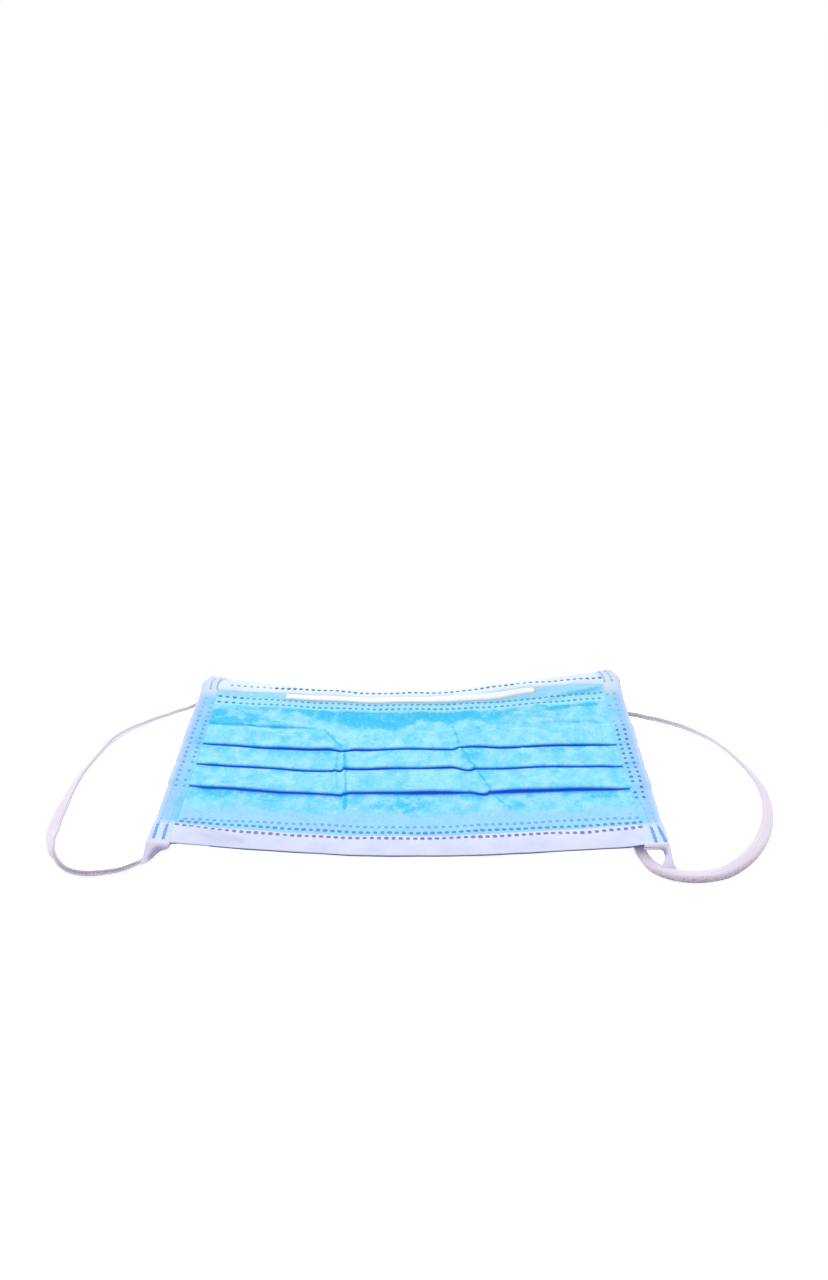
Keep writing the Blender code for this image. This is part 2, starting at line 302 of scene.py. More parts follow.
def makeOuterPly():
    material, tree, surface = newMaterial("outer ply")
    grain = grainOf(tree, outerLook["cloudSize"])
    names = ("plain", "light", "deep", "pale", "band", "crease", "wireShadow", "fleck")
    shades = {name: color(*outerLook[name]) for name in names}
    base = mixed(tree, grain["Cloud"], shades["plain"], shades["light"])
    # deep: a darker blue, in part painted shade below the folds, beside the creases and along the soft folds
    depth = attribute(tree, "deep")
    swing = calc(tree, "MULTIPLY_ADD", depth, 0.7, 0.35)
    wanted = calc(tree, "MULTIPLY_ADD", calc(tree, "SUBTRACT", 0.55, grain["Cloud"]), swing, depth)
    base = mixed(tree, remap(tree, wanted, 0.1, 0.9, 0.0, 0.92), base, shades["deep"])
    soft = mixed(tree, calc(tree, "MULTIPLY", grain["Cloud"], 0.25), shades["pale"], shades["light"])
    base = mixed(tree, attribute(tree, "pale"), base, soft)
    for name in ("band", "wireShadow"):
        base = mixed(tree, attribute(tree, name), base, shades[name])
    base = mixed(tree, calc(tree, "MULTIPLY", grain["Points"], 0.05), base, shades["fleck"])
    base = mixed(tree, remap(tree, grain["Fibre"], 0.53, 0.72, 0.0, 0.42), base, shades["fleck"])
    base = mixed(tree, remap(tree, grain["Fibre"], 0.47, 0.32, 0.0, 0.32), base, shades["deep"])
    # painted shadow: deep blue inside the folds and just in front of their lips
    base = mixed(tree, attribute(tree, "crease"), base, shades["crease"])
    finishCloth(tree, surface, base, grain["Height"])
    # painted glow: the folds' painted shadow gives off a little blue light
    foldGlow = mixed(tree, attribute(tree, "crease"), (0, 0, 0, 1), outerLook["foldGlow"])
    fill(tree, surface, {"Emission Color": foldGlow, "Emission Strength": 1.0})
    return material


def makePlainCloth(name, main, shade, cloud=0.014, foldShade=None):
    material, tree, surface = newMaterial(name)
    grain = grainOf(tree, cloud)
    base = mixed(tree, grain["Cloud"], color(*shade), color(*main))
    fleck = remap(tree, grain["Fibre"], 0.58, 0.8, 0.0, 0.35)
    base = mixed(tree, fleck, base, color(*(min(255, value + 10) for value in main)))
    base = mixed(tree, calc(tree, "MULTIPLY", grain["Points"], 0.3), base, color(*shade))
    if foldShade:
        base = mixed(tree, attribute(tree, "under"), base, color(*foldShade))
    finishCloth(tree, surface, base, grain["Height"], 0.0001)
    return material


# one ply of pale blue over the white plies: it lets the pleats through near its inner line,
# and is paler where it lies over the hems or is folded
bindingLook = {
    "cloudSize": 0.008,
    "plain": (118, 206, 253),
    "light": (156, 225, 254),
    "fleck": (222, 236, 252),
    "zones": {
        "outward": (162, 207, 253), "layered": (221, 231, 253), "folded": (207, 221, 251),
        # painted grey-violet shade on the inner side of the free tail
        "free": (230, 224, 249), "tailShade": (160, 160, 198),
    },
}


def makeBindingCloth():
    material, tree, surface = newMaterial("binding cloth")
    grain = grainOf(tree, bindingLook["cloudSize"])
    base = mixed(tree, grain["Cloud"], color(*bindingLook["plain"]), color(*bindingLook["light"]))
    for zone, shade in bindingLook["zones"].items():
        base = mixed(tree, attribute(tree, zone), base, color(*shade))
    fleck = remap(tree, grain["Fibre"], 0.55, 0.75, 0.0, 0.25)
    base = mixed(tree, fleck, base, color(*bindingLook["fleck"]))
    finishCloth(tree, surface, base, grain["Height"])
    return material


elasticLook = {
    "stitch": 0.0009,  # length and width of one stitch
    "row": 0.0008,
    "stagger": 1.4,
    "plain": (241, 232, 252),
    "light": (248, 240, 254),
    "gap": (206, 192, 218),
    "fuzz": (250, 246, 253),
    "under": (104, 80, 110),
}


def makeElastic():
    look = elasticLook
    material, tree, surface = newMaterial("knitted elastic")
    band = put(tree, "ShaderNodeUVMap", uv_map="UVMap").outputs[0]
    parts = put(tree, "ShaderNodeSeparateXYZ", {0: band}).outputs
    # fine knit: short stitches in rows along the band
    along = calc(tree, "MULTIPLY", parts[0], 2 * math.pi / look["stitch"])
    across = calc(tree, "MULTIPLY", parts[1], 2 * math.pi / look["row"])
    stagger = calc(tree, "MULTIPLY", calc(tree, "SINE", across), look["stagger"])
    stitch = calc(tree, "SINE", calc(tree, "ADD", along, stagger))
    knit = calc(tree, "MULTIPLY_ADD", stitch, 0.5, calc(tree, "COSINE", across))
    place = objectPlace(tree)
    fuzz = noise(tree, place, 1600.0, 4.0, 0.75)
    drift = noise(tree, place, 110.0, 2.0)
    base = mixed(tree, remap(tree, drift, 0.3, 0.7), color(*look["plain"]), color(*look["light"]))
    base = mixed(tree, remap(tree, knit, -1.4, 0.2, 0.35, 0.0), base, color(*look["gap"]))
    base = mixed(tree, remap(tree, fuzz, 0.52, 0.75, 0.0, 0.4), base, color(*look["fuzz"]))
    # the side turned to the table gathers less light and shows its knit as grain
    shaded = calc(tree, "MULTIPLY", attribute(tree, "under"), remap(tree, fuzz, 0.35, 0.6, 1.0, 0.5))
    base = mixed(tree, shaded, base, color(*look["under"]))
    finishCloth(tree, surface, base, calc(tree, "MULTIPLY_ADD", knit, 0.5, fuzz), 0.00012, 0.9, 0.15)
    return material


# the nose strip's plastic, and the pressed marks, where the plies are melted together
hardLooks = {
    "strip": {
        "noise": (420.0, 5.0, 0.65),  # scale, detail and roughness of the unevenness
        "tones": (0.35, 0.7),  # range over which the two colours blend
        "gloss": (0.38, 0.55),  # smallest and largest roughness
        "relief": (0.00005, 0.4),  # depth and strength
    },
    "weld": {
        "noise": (900.0, 3.0, 0.5),
        "tones": (0.3, 0.7),
        "gloss": (0.35, 0.6),
        "relief": (0.00006, 0.5),
    },
}


def makeHardFinish(name, look, main, rim):
    material, tree, surface = newMaterial(name)
    uneven = noise(tree, objectPlace(tree), *look["noise"])
    base = mixed(tree, remap(tree, uneven, *look["tones"]), color(*main), color(*rim))
    fill(tree, surface, {"Base Color": base, "Roughness": remap(tree, uneven, 0.3, 0.7, *look["gloss"])})
    addRelief(tree, surface, uneven, *look["relief"])
    return material


hemColors = {
    # foldShade: painted shade on the lower half of each hem's fold, and along the chin hem's soft fold
    "nose": {"main": (230, 245, 251), "shade": (212, 234, 250), "foldShade": (200, 218, 240)},
    "chin": {"main": (228, 233, 253), "shade": (214, 222, 253), "foldShade": (54, 54, 118), "cloud": 0.009},
}
wireColors = ((238, 241, 246), (248, 248, 247))

outerPly = makeOuterPly()
innerPly = makePlainCloth("inner ply", (245, 247, 251), (232, 238, 248))
noseHemCloth = makePlainCloth("nose hem cloth", **hemColors["nose"])
chinHemCloth = makePlainCloth("chin hem cloth", **hemColors["chin"])
bindingCloth = makeBindingCloth()
knittedElastic = makeElastic()
noseStrip = makeHardFinish("nose strip", hardLooks["strip"], *wireColors)
print("materials made")


# Mesh helper: a closed band swept through rings of points.
# The second half of a ring runs back beside its first half.
def sweptPiece(name, rings, materials, inside=None, values=None):
    stations, ring = rings.shape[:2]
    points = rings.reshape(-1, 3)
    index = np.arange(stations * ring).reshape(stations, ring)
    after = np.roll(index, -1, axis=1)
    sides = np.stack([index[:-1], after[:-1], after[1:], index[1:]], axis=-1).reshape(-1, 4)
    half = ring // 2
    corner = np.arange(half - 1)
    cap = np.stack([corner, corner + 1, ring - 2 - corner, ring - 1 - corner], axis=-1)
    caps = np.concatenate([cap[:, ::-1], cap + (stations - 1) * ring])
    faces = np.concatenate([sides, caps])
    mesh = bpy.data.meshes.new(name)
    mesh.from_pydata(points.tolist(), [], faces.tolist())
    for material in materials:
        mesh.materials.append(material)
    if inside is not None:
        whichSide = np.zeros(len(faces), np.int32)
        whichSide[: len(sides)] = np.tile(inside, stations - 1)
        mesh.polygons.foreach_set("material_index", whichSide)
    for label, value in (values or {}).items():
        layer = mesh.attributes.new(label, "FLOAT", "POINT")
        layer.data.foreach_set("value", np.ascontiguousarray(value, np.float32).ravel())
    along, around = walkedAlong(rings[:, 0]), walkedAlong(rings[stations // 2])
    lookup = np.stack(np.meshgrid(along, around, indexing="ij"), axis=-1).reshape(-1, 2)
    corners = np.empty(len(mesh.loops), np.int32)
    mesh.loops.foreach_get("vertex_index", corners)
    layer = mesh.uv_layers.new(name="UVMap")
    layer.data.foreach_set("uv", lookup[corners].astype(np.float32).ravel())
    builder = bmesh.new()
    builder.from_mesh(mesh)
    bmesh.ops.recalc_face_normals(builder, faces=builder.faces)
    builder.to_mesh(mesh)
    builder.free()
    mesh.polygons.foreach_set("use_smooth", np.ones(len(mesh.polygons), bool))
    mesh.update()
    piece = bpy.data.objects.new(name, mesh)
    scene.collection.objects.link(piece)
    return piece


earLoops = {
    "bandWidth": 0.0050,
    "step": 0.0011,
    "ringPoints": 32,
    "powers": (0.85, 0.75),  # how square the band's outline is, across and up
    "ribs": (5, 0.025),  # number and height of the shallow ribs
    "sideShade": 0.95,
    "edgeShade": 0.2,  # painted shade along both edges
    "routeSteps": 12,
    "left": {
        "route": (
            (-0.0826, 0.0452), (-0.0860, 0.0395), (-0.0893, 0.0355), (-0.0930, 0.0335), (-0.0987, 0.0310),
            (-0.1060, 0.0270), (-0.1128, 0.0219), (-0.1177, 0.0160), (-0.1203, 0.0090), (-0.1224, 0.0021),
            (-0.1240, -0.0046), (-0.1248, -0.0110), (-0.1251, -0.0173), (-0.1251, -0.0233),
            (-0.1249, -0.0292), (-0.1239, -0.0347), (-0.1220, -0.0402), (-0.1190, -0.0449),
            (-0.1157, -0.0482), (-0.1118, -0.0503), (-0.1070, -0.0512), (-0.1018, -0.0508),
            (-0.0958, -0.0494), (-0.0905, -0.0464), (-0.0868, -0.0432), (-0.0840, -0.0372),
        ),
        # share of the length, width, thickness, roll in degrees, height of the lowest side,
        # how far up the low side looks shaded, shade of the whole band
        "sections": (
            (0.00, 0.0046, 0.0012, 0, 0.0034, -0.5, 0.8), (0.03, 0.0044, 0.0013, 12, 0.0031, -0.5, 0.8),
            (0.07, 0.0042, 0.0015, 40, 0.0026, -0.5, 0.5), (0.11, 0.0046, 0.0016, 40, 0.0019, -0.5, 0.25),
            (0.16, 0.0054, 0.0018, 38, 0.0011, -0.5, 0.1), (0.22, 0.0054, 0.0018, 44, 0.0004, -0.5, 0.05),
            (0.30, 0.0048, 0.0016, 56, 0.0001, -0.5, 0.08), (0.42, 0.0050, 0.0017, 44, 0.0001, -0.6, 0.09),
            (0.50, 0.0052, 0.0018, 36, 0.0001, -0.7, 0.09), (0.57, 0.0056, 0.0019, 26, 0.0001, -0.7, 0.09),
            (0.63, 0.0056, 0.0019, 27, 0.0001, -0.6, 0.07), (0.68, 0.0048, 0.0018, 54, 0.0001, -0.2, 0.13),
            (0.72, 0.0038, 0.0017, 92, 0.0001, 0.5, 0.18), (0.78, 0.0036, 0.0018, 124, 0.0001, 0.8, 0.16),
            (0.90, 0.0036, 0.0016, 132, 0.0001, 0.8, 0.14), (0.95, 0.0038, 0.0012, 150, 0.0008, 0.5, 0.2),
            (1.00, 0.0044, 0.0011, 180, 0.0028, 0.3, 0.5),
        ),
    },
    "right": {
        "route": (
            (0.0824, 0.0356), (0.0855, 0.0322), (0.0892, 0.0300), (0.0952, 0.0286), (0.1028, 0.0267),
            (0.1085, 0.0244), (0.1150, 0.0203), (0.1200, 0.0154), (0.1240, 0.0091), (0.1272, 0.0021),
            (0.1293, -0.0046), (0.1301, -0.0110), (0.1297, -0.0172), (0.1282, -0.0233), (0.1259, -0.0291),
            (0.1227, -0.0345), (0.1186, -0.0398), (0.1136, -0.0447), (0.1067, -0.0494), (0.0992, -0.0517),
            (0.0926, -0.0520), (0.0865, -0.0507), (0.0820, -0.0480), (0.0797, -0.0441), (0.0788, -0.0395),
            (0.0785, -0.0345),
        ),
        "sections": (
            (0.00, 0.0046, 0.0012, 0, 0.0034, -0.5, 0.75),
            (0.03, 0.0044, 0.0014, -14, 0.0030, -0.5, 0.75),
            (0.07, 0.0042, 0.0018, -42, 0.0023, -0.5, 0.7),
            (0.11, 0.0042, 0.0018, -45, 0.0015, -0.5, 0.6),
            (0.17, 0.0044, 0.0017, -45, 0.0007, -0.5, 0.44),
            (0.24, 0.0046, 0.0015, -45, 0.0002, -0.5, 0.25),
            (0.32, 0.0048, 0.0015, -42, 0.0001, -0.6, 0.03),
            (0.42, 0.0047, 0.0017, -35, 0.0001, -0.6, 0.0),
            (0.52, 0.0048, 0.0019, -32, 0.0001, -0.3, 0.0),
            (0.60, 0.0047, 0.0021, -28, 0.0001, 0.15, 0.0),
            (0.67, 0.0046, 0.0024, -20, 0.0001, 0.55, 0.0), (0.74, 0.0045, 0.0026, -10, 0.0001, 0.8, 0.0),
            (0.82, 0.0044, 0.0027, -4, 0.0001, 0.8, 0.0), (0.89, 0.0041, 0.0025, -8, 0.0001, 0.6, 0.0),
            (0.94, 0.0036, 0.0018, -14, 0.0008, 0.1, 0.3), (0.965, 0.0038, 0.0014, -6, 0.0014, 0.1, 0.75),
            (1.00, 0.0040, 0.0012, 0, 0.0020, 0.2, 0.9),
        ),
    },
}


def smoothRoute(route, step):
    # even steps along a smooth curve through the route's points
    places = np.array(route, float)
    places = np.concatenate([[2 * places[0] - places[1]], places, [2 * places[-1] - places[-2]]])
    fine = []
    for a, b, c, d in zip(places, places[1:], places[2:], places[3:]):
        for t in np.linspace(0, 1, earLoops["routeSteps"], endpoint=False):
            square = (2 * a - 5 * b + 4 * c - d) * t**2
            cube = (3 * b - a - 3 * c + d) * t**3
            fine.append(0.5 * (2 * b + (c - a) * t + square + cube))
    fine = np.array([*fine, places[-2]])
    walked = walkedAlong(fine)
    wanted = np.linspace(0, walked[-1], round(walked[-1] / step) + 1)
    return np.stack([np.interp(wanted, walked, fine[:, axis]) for axis in range(2)], axis=-1)


def makeEarLoop(side):
    shape = earLoops[side]
    points = smoothRoute(shape["route"], earLoops["step"])
    share = np.linspace(0, 1, len(points))
    width, thick, roll, lowest, low, dim = (
        between(share, [(row[0], row[i]) for row in shape["sections"]]) for i in range(1, 7)
    )
    roll = np.radians(roll)
    heading = np.gradient(points, axis=0)
    heading /= np.linalg.norm(heading, axis=1)[:, None]
    sideways = np.stack([-heading[:, 1], heading[:, 0], np.zeros(len(points))], axis=-1)
    upward = np.array([0.0, 0.0, 1.0])
    flat = sideways * np.cos(roll)[:, None] + upward * np.sin(roll)[:, None]
    raised = -sideways * np.sin(roll)[:, None] + upward * np.cos(roll)[:, None]
    z = lowest + np.hypot(width / 2 * np.sin(roll), thick / 2 * np.cos(roll))
    middle = np.column_stack([points, z])
    count = earLoops["ringPoints"]
    angle = np.linspace(0, 2 * math.pi, count, endpoint=False) + math.pi / count
    across, up = (
        np.sign(wave) * np.abs(wave) ** power
        for wave, power in zip((np.cos(angle), np.sin(angle)), earLoops["powers"])
    )
    ribCount, ribHeight = earLoops["ribs"]
    up = up * (1 + ribHeight * np.cos(across * math.pi * ribCount))
    rings = (
        middle[:, None]
        + flat[:, None] * (across[None, :, None] * width[:, None, None] / 2)
        + raised[:, None] * (up[None, :, None] * thick[:, None, None] / 2)
    )
    lean = rings[..., 2] - middle[:, None, 2]
    lean /= np.abs(lean).max(axis=1)[:, None]
    # painted shade: the low side, the near side, whole stretches turned from the light, and both edges
    under = np.maximum(ease((low[:, None] - lean) / 0.9), dim[:, None])
    outer = earLoops["sideShade"] * np.clip(low, 0, 1)[:, None] * ease((across - 0.1) / 0.9)
    paintedEdgeShade = earLoops["edgeShade"] * ease((np.abs(across) - 0.84) / 0.1)
    under = np.maximum(np.maximum(under, outer), paintedEdgeShade)
    loop = sweptPiece("ear_loop_band_" + side, rings, [knittedElastic], None, {"under": under})
    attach(loop, "root")
    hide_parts("ear_loop_" + side)


for side in ("left", "right"):
    makeEarLoop(side)
print("ear loops made")


pleatedBody = {
    "halfWidth": 0.0857,
    "wall": 0.00042,
    "columns": 204,
    "samples": 1200,
    "depth": 0.0086,  # how far each pleat folds under
    "lowest": 0.00025,
    "hemLift": 0.00029,  # room for the hems' lower flaps
    "sideLift": 0.00031,  # room for the bindings' lower flaps
    "lowGap": (0.00055, 0.00047),  # between layers, in the middle and inside the bindings
    "highGap": (0.00078, 0.00047),
    "insideHems": (0.04965, -0.0420),  # where the cloth starts and ends
    "rows": {"top": 50, "lip": 9, "run": 6, "turn": 6, "hidden": 5, "panel": 26, "lastPanel": 44},
    "crowding": 1.18,  # rows stand closer near the fold above
    "hiddenReach": 0.0012,
    "hiddenShade": 0.9,
    "shadowReach": 0.00085,
    "shadowBlur": 0.0009,
    "lastRise": 0.00022,
    "creaseFade": 0.12,
    "waveHeights": (0.00016, 0.00012),
    "meanRelief": 0.00028,
    "ramp": 0.0030,
    "firstRamp": 0.0046,
    "liftReach": 0.0034,
    # place of each fold's edge across the mask, and how far it stands open
    "folds": (
        {
            "edge": (
                (-0.088, 0.0111), (-0.068, 0.0107), (-0.054, 0.0097), (-0.041, 0.0100), (-0.0315, 0.0105),
                (-0.0267, 0.0098), (-0.0206, 0.0109), (-0.004, 0.0114), (0.017, 0.0114), (0.0198, 0.0125),
                (0.0234, 0.0126), (0.037, 0.0115), (0.057, 0.0113), (0.088, 0.0103),
            ),
            "lift": (
                (-0.080, 0.00005), (-0.062, 0.0002), (-0.045, 0.00055), (-0.032, 0.00055),
                (-0.0265, 0.0001), (-0.020, 0.0004), (-0.010, 0.0002), (0.018, 0.00005), (0.030, 0.0003),
                (0.056, 0.0004), (0.066, 0.0003), (0.080, 0.00005),
            ),
        },
        {
            "edge": (
                (-0.088, -0.0003), (-0.065, -0.0011), (-0.052, -0.0015), (-0.039, -0.0017),
                (-0.0262, -0.0016), (-0.0237, -0.0003), (-0.004, 0.0003), (0.016, 0.0008),
                (0.0227, -0.0010), (0.026, -0.0002), (0.049, -0.0002), (0.088, -0.0018),
            ),
            "lift": (
                (-0.080, 0.0002), (-0.050, 0.0002), (-0.030, 0.00005), (-0.020, 0.00035), (-0.012, 0.0004),
                (0.002, 0.0001), (0.013, 0.0004), (0.022, 0.0001), (0.050, 0.0001), (0.080, 0.0001),
            ),
        },
        {
            "edge": (
                (-0.088, -0.0123), (-0.069, -0.0132), (-0.057, -0.0135), (-0.044, -0.0140),
                (-0.0286, -0.0140), (-0.0246, -0.0143), (-0.0218, -0.0129), (-0.003, -0.0127),
                (0.009, -0.0127), (0.0222, -0.0124), (0.0276, -0.0136), (0.031, -0.0128),
                (0.047, -0.0129), (0.088, -0.0139),
            ),
            "lift": (
                (-0.080, 0.00015), (-0.060, 0.0003), (-0.030, 0.0001), (-0.018, 0.0002), (-0.006, 0.0003),
                (0.006, 0.00075), (0.014, 0.0006), (0.022, 0.0001), (0.028, 0.0003), (0.040, 0.0008),
                (0.060, 0.0006), (0.080, 0.0002),
            ),
        },
    ),
    # storage creases and wrinkles: points, height, half width, strength of the painted shade beside it
    "creases": (
        (((-0.0361, 0.0235), (-0.0315, 0.0160), (-0.0267, 0.0100)), 0.000882, 0.0007, 1.0),
        (((-0.0287, 0.0098), (-0.0283, -0.0010), (-0.0272, -0.0125)), 0.00042, 0.0006, 0.6),
        (((-0.0262, 0.0098), (-0.0248, -0.0010), (-0.0240, -0.0135), (-0.0236, -0.0245)), 0.00063, 0.0006, 0.84),
        (((0.0165, 0.0270), (0.0178, 0.0190), (0.0190, 0.0125)), 0.000588, 0.0006, 0.8),
        (((0.0190, 0.0125), (0.0222, 0.0030), (0.0250, -0.0010)), 0.000714, 0.0006, 1.0),
        (((0.0245, -0.0010), (0.0285, -0.0110), (0.0300, -0.0135)), 0.000714, 0.0006, 1.0),
        (((0.0300, -0.0140), (0.0335, -0.0195), (0.0370, -0.0225)), 0.00063, 0.0008, 1.0),
        (((-0.0780, 0.0330), (-0.0700, 0.0300), (-0.0620, 0.0262), (-0.0500, 0.0246)), 0.000462, 0.0008, 0.8),
        (((0.0540, 0.0372), (0.0640, 0.0400), (0.0730, 0.0412), (0.0800, 0.0430)), 0.000462, 0.0009, 1.0),
        (((0.0480, 0.0352), (0.0560, 0.0332), (0.0660, 0.0342), (0.0790, 0.0345)), 0.000378, 0.0008, 1.0),
        (((0.0330, 0.0330), (0.0430, 0.0318), (0.0540, 0.0296), (0.0620, 0.0270)), 0.00063, 0.0008, 0.7),
        (((-0.0200, 0.0330), (-0.0120, 0.0290), (0.0020, 0.0255), (0.0140, 0.0262)), 0.00042, 0.0014, 0.2),
        (((0.0440, 0.0120), (0.0455, 0.0060), (0.0450, 0.0010)), 0.000378, 0.0007, 0.5),
        (((-0.0660, -0.0150), (-0.0560, -0.0190), (-0.0470, -0.0200)), 0.00042, 0.0010, 0.5),
        (((-0.0040, -0.0150), (0.0020, -0.0190), (-0.0030, -0.0225)), 0.000462, 0.0012, 0.9),
    ),
    # stretches with closer columns, for the narrow creases
    "fineColumns": ((-0.0385, -0.0215), (0.0155, 0.0380)),
    # soft folds: the cloth above the line stands higher, with painted shade and a painted crease shadow along
    # it.
    # The reach gives where these start and end across the mask, each with its run
    "steps": (
        {
            "line": ((-0.088, 0.0232), (-0.072, 0.0228), (-0.060, 0.0231), (-0.048, 0.0238), (-0.040, 0.0234)),
            "rise": 0.00065, "shadow": 1.0, "crease": 0.42, "reach": (-0.089, 0.004, -0.036, 0.008),
        },
        {
            "line": ((0.010, 0.0285), (0.0244, 0.0273), (0.0486, 0.0257), (0.088, 0.0228)),
            "rise": 0.00035, "shadow": 0.35, "crease": 0.0, "reach": (0.012, 0.02, 0.12, 0.02),
        },
    ),
}


def lineDistance(x, y, points):
    # distance from a line of points, and how far along it, 0 to 1
    best = np.full(np.shape(x), 1.0)
    along = np.zeros(np.shape(x))
    count = len(points) - 1
    for i, (a, b) in enumerate(zip(points, points[1:])):
        dx, dy = b[0] - a[0], b[1] - a[1]
        t = np.clip(((x - a[0]) * dx + (y - a[1]) * dy) / (dx * dx + dy * dy), 0, 1)
        gap = np.hypot(x - a[0] - t * dx, y - a[1] - t * dy)
        closer = gap < best
        best = np.where(closer, gap, best)
        along = np.where(closer, (i + t) / count, along)
    return best, along


def creaseParts(x, y, points):
    # distance from a crease, and how strong it is there: it fades at both ends
    fade = pleatedBody["creaseFade"]
    gap, along = lineDistance(x, y, points)
    return gap, window(along, 0, fade, 1, fade)


def reliefAt(x, y):
    # unevenness of the whole stack of layers: two sets of soft waves, the creases and the soft folds
    shape = pleatedBody
    broad, fine = shape["waveHeights"]
    soft = broad * np.sin(x / 0.0083 + 1.7 * np.sin(y / 0.013)) * np.sin(y / 0.0052 + 0.8 * np.sin(x / 0.021))
    soft = soft + fine * np.sin(x / 0.0041 + 2.1 * np.sin(y / 0.0061 + 1.0) + 0.6)
    free = ease((0.079 - np.abs(x)) / 0.008) * ease((y + 0.0400) / 0.008)
    height = (soft + shape["meanRelief"]) * free
    for points, rise, half, creaseShade in shape["creases"]:
        gap, strength = creaseParts(x, y, points)
        height = height + rise * near(gap, 0, half) * strength
    reach = np.where(x < 0, window(x, -0.089, 0.004, -0.036, 0.012), window(x, 0.010, 0.02, 0.080, 0.01))
    for step in shape["steps"]:
        over = y - between(x, step["line"])
        slope = ease((over + 0.0004) / 0.0010) * np.exp(-np.clip(over, 0, None) / 0.006)
        height = height + step["rise"] * slope * reach
    return height


def seated(x):
    # 1 inside the bindings, 0 over the free middle
    return ease((np.abs(x) - 0.0745) / 0.0055)


def bodyLow(x, y):
    shape = pleatedBody
    hems = ease((y - 0.036) / 0.006) + ease((-0.027 - y) / 0.006)
    return shape["lowest"] + shape["hemLift"] * hems + shape["sideLift"] * seated(x)


def makeFoldedLine(x):
    # one column of the body: the sheet's middle line from the nose edge to the chin edge
    shape = pleatedBody
    count, depth = shape["rows"], shape["depth"]
    squeeze = float(seated(x))
    edges = [float(between(x, fold["edge"])) for fold in shape["folds"]]
    lifts = [float(between(x, fold["lift"])) * (1 - squeeze) for fold in shape["folds"]]
    lowGap, highGap = (free + (held - free) * squeeze for free, held in (shape["lowGap"], shape["highGap"]))
    rows = []

    # each row's third value is painted shadow: darker inside each fold and just in front of its lip
    def add(ys, zs, crease):
        rows.extend(zip(np.broadcast_to(ys, np.shape(zs)), zs, np.broadcast_to(crease, np.shape(zs))))

    def bump(y, i):
        return near(y, edges[i], shape["liftReach"])

    def midZ(y, i):
        return lowGap + 0.45 * lifts[i] * bump(y, i)

    def highZ(y, i):
        return lowGap + highGap + lifts[i] * bump(y, i)

    def halfTurn(points):
        return np.radians(np.linspace(90, -90, points)[1:-1])

    start, chinEnd = shape["insideHems"]
    for i in range(len(edges) + 1):
        last = i == len(edges)
        radius = 0.0 if last else (highZ(edges[i], i) - midZ(edges[i], i)) / 2
        end = chinEnd if last else edges[i] + radius
        if i == 0:
            ys = np.linspace(start, end, count["top"])
            rampEnd = edges[0] + depth + shape["firstRamp"]
            add(ys, highZ(ys, 0) * ease((rampEnd - ys) / shape["firstRamp"]), 0.0)
        else:
            above = edges[i - 1]
            hiddenEnd = above + shape["hiddenReach"]
            ys = np.linspace(start, hiddenEnd, count["hidden"], endpoint=False)
            add(ys, np.zeros(count["hidden"]), shape["hiddenShade"])
            share = np.linspace(0, 1, count["lastPanel" if last else "panel"]) ** shape["crowding"]
            ys = hiddenEnd - (hiddenEnd - end) * share
            if last:
                zs = shape["lastRise"] * window(ys, -0.030, 0.008, above + 0.0003, 0.003)
            else:
                zs = highZ(ys, i) * ease((above + 0.0003 - ys) / shape["ramp"])
            add(ys, zs, ease((ys - above + shape["shadowReach"] + 0.9 * lifts[i - 1]) / shape["shadowBlur"]))
        if last:
            break
        # the rounded lip, the run back under it, and the turn down onto the table
        angles = halfTurn(count["lip"])
        middle = (highZ(edges[i], i) + midZ(edges[i], i)) / 2
        shade = ease(0.62 - np.sin(angles) * 0.75)
        add(end - radius * np.cos(angles), middle + radius * np.sin(angles), shade)
        start = edges[i] + depth - lowGap / 2
        ys = np.linspace(end, start, count["run"])
        add(ys, midZ(ys, i), 1.0)
        angles = halfTurn(count["turn"])
        half = lowGap / 2
        add(start + half * np.cos(angles), half + half * np.sin(angles), shape["hiddenShade"])
    return np.array(rows)


clothShades = {
    # darker blue under the weld band: its upper limit, its lower edge and its strength
    "deepTop": 0.0345,
    "deepEdge": (
        (-0.088, 0.0290), (-0.074, 0.0300), (-0.069, 0.0310), (-0.060, 0.0315), (-0.045, 0.0290),
        (-0.033, 0.0266), (-0.016, 0.0240), (-0.004, 0.0246), (0.008, 0.0264), (0.020, 0.0274),
        (0.045, 0.0302), (0.088, 0.0330),
    ),
    "deepStrength": (
        (-0.088, 0.60), (-0.076, 0.45), (-0.068, 0.35), (-0.054, 0.50), (-0.045, 0.95), (-0.033, 1.1),
        (0.018, 1.1), (0.030, 0.85), (0.045, 0.60), (0.070, 0.35), (0.088, 0.2),
    ),
    # single darker patches, the first two painted shade by the soft fold at the left: x, y, half width, half
    # height, strength
    "patches": (
        (-0.073, 0.0252, 0.011, 0.0024, 1.3), (-0.079, 0.0285, 0.005, 0.0050, 1.0),
        (-0.060, 0.0085, 0.014, 0.0016, 0.6), (-0.036, 0.0085, 0.010, 0.0020, 0.6),
        (0.000, -0.0190, 0.007, 0.0030, 0.85), (-0.070, -0.0150, 0.009, 0.0030, 0.7),
        (-0.010, -0.0205, 0.006, 0.0020, 0.6), (0.068, -0.0185, 0.010, 0.0018, 0.5),
        (0.024, 0.0060, 0.006, 0.0035, 0.35), (0.040, -0.0195, 0.004, 0.0016, 0.55),
        (-0.050, -0.0030, 0.012, 0.0012, 0.5), (0.052, 0.0085, 0.012, 0.0016, 0.45),
        (-0.012, 0.0185, 0.008, 0.0030, 0.35), (0.030, 0.0235, 0.010, 0.0030, 0.4),
        (-0.045, 0.0165, 0.026, 0.0045, 0.28), (0.000, 0.0175, 0.022, 0.0045, 0.28),
    ),
    "bandEnd": ((-0.088, 0.0341), (0.030, 0.0341), (0.088, 0.0349)),  # lower edge of the pale weld band
    "foldShade": 0.5,
    "bandShade": 0.95,
    "noseShade": 0.9,
    "chinShade": 0.92,
}


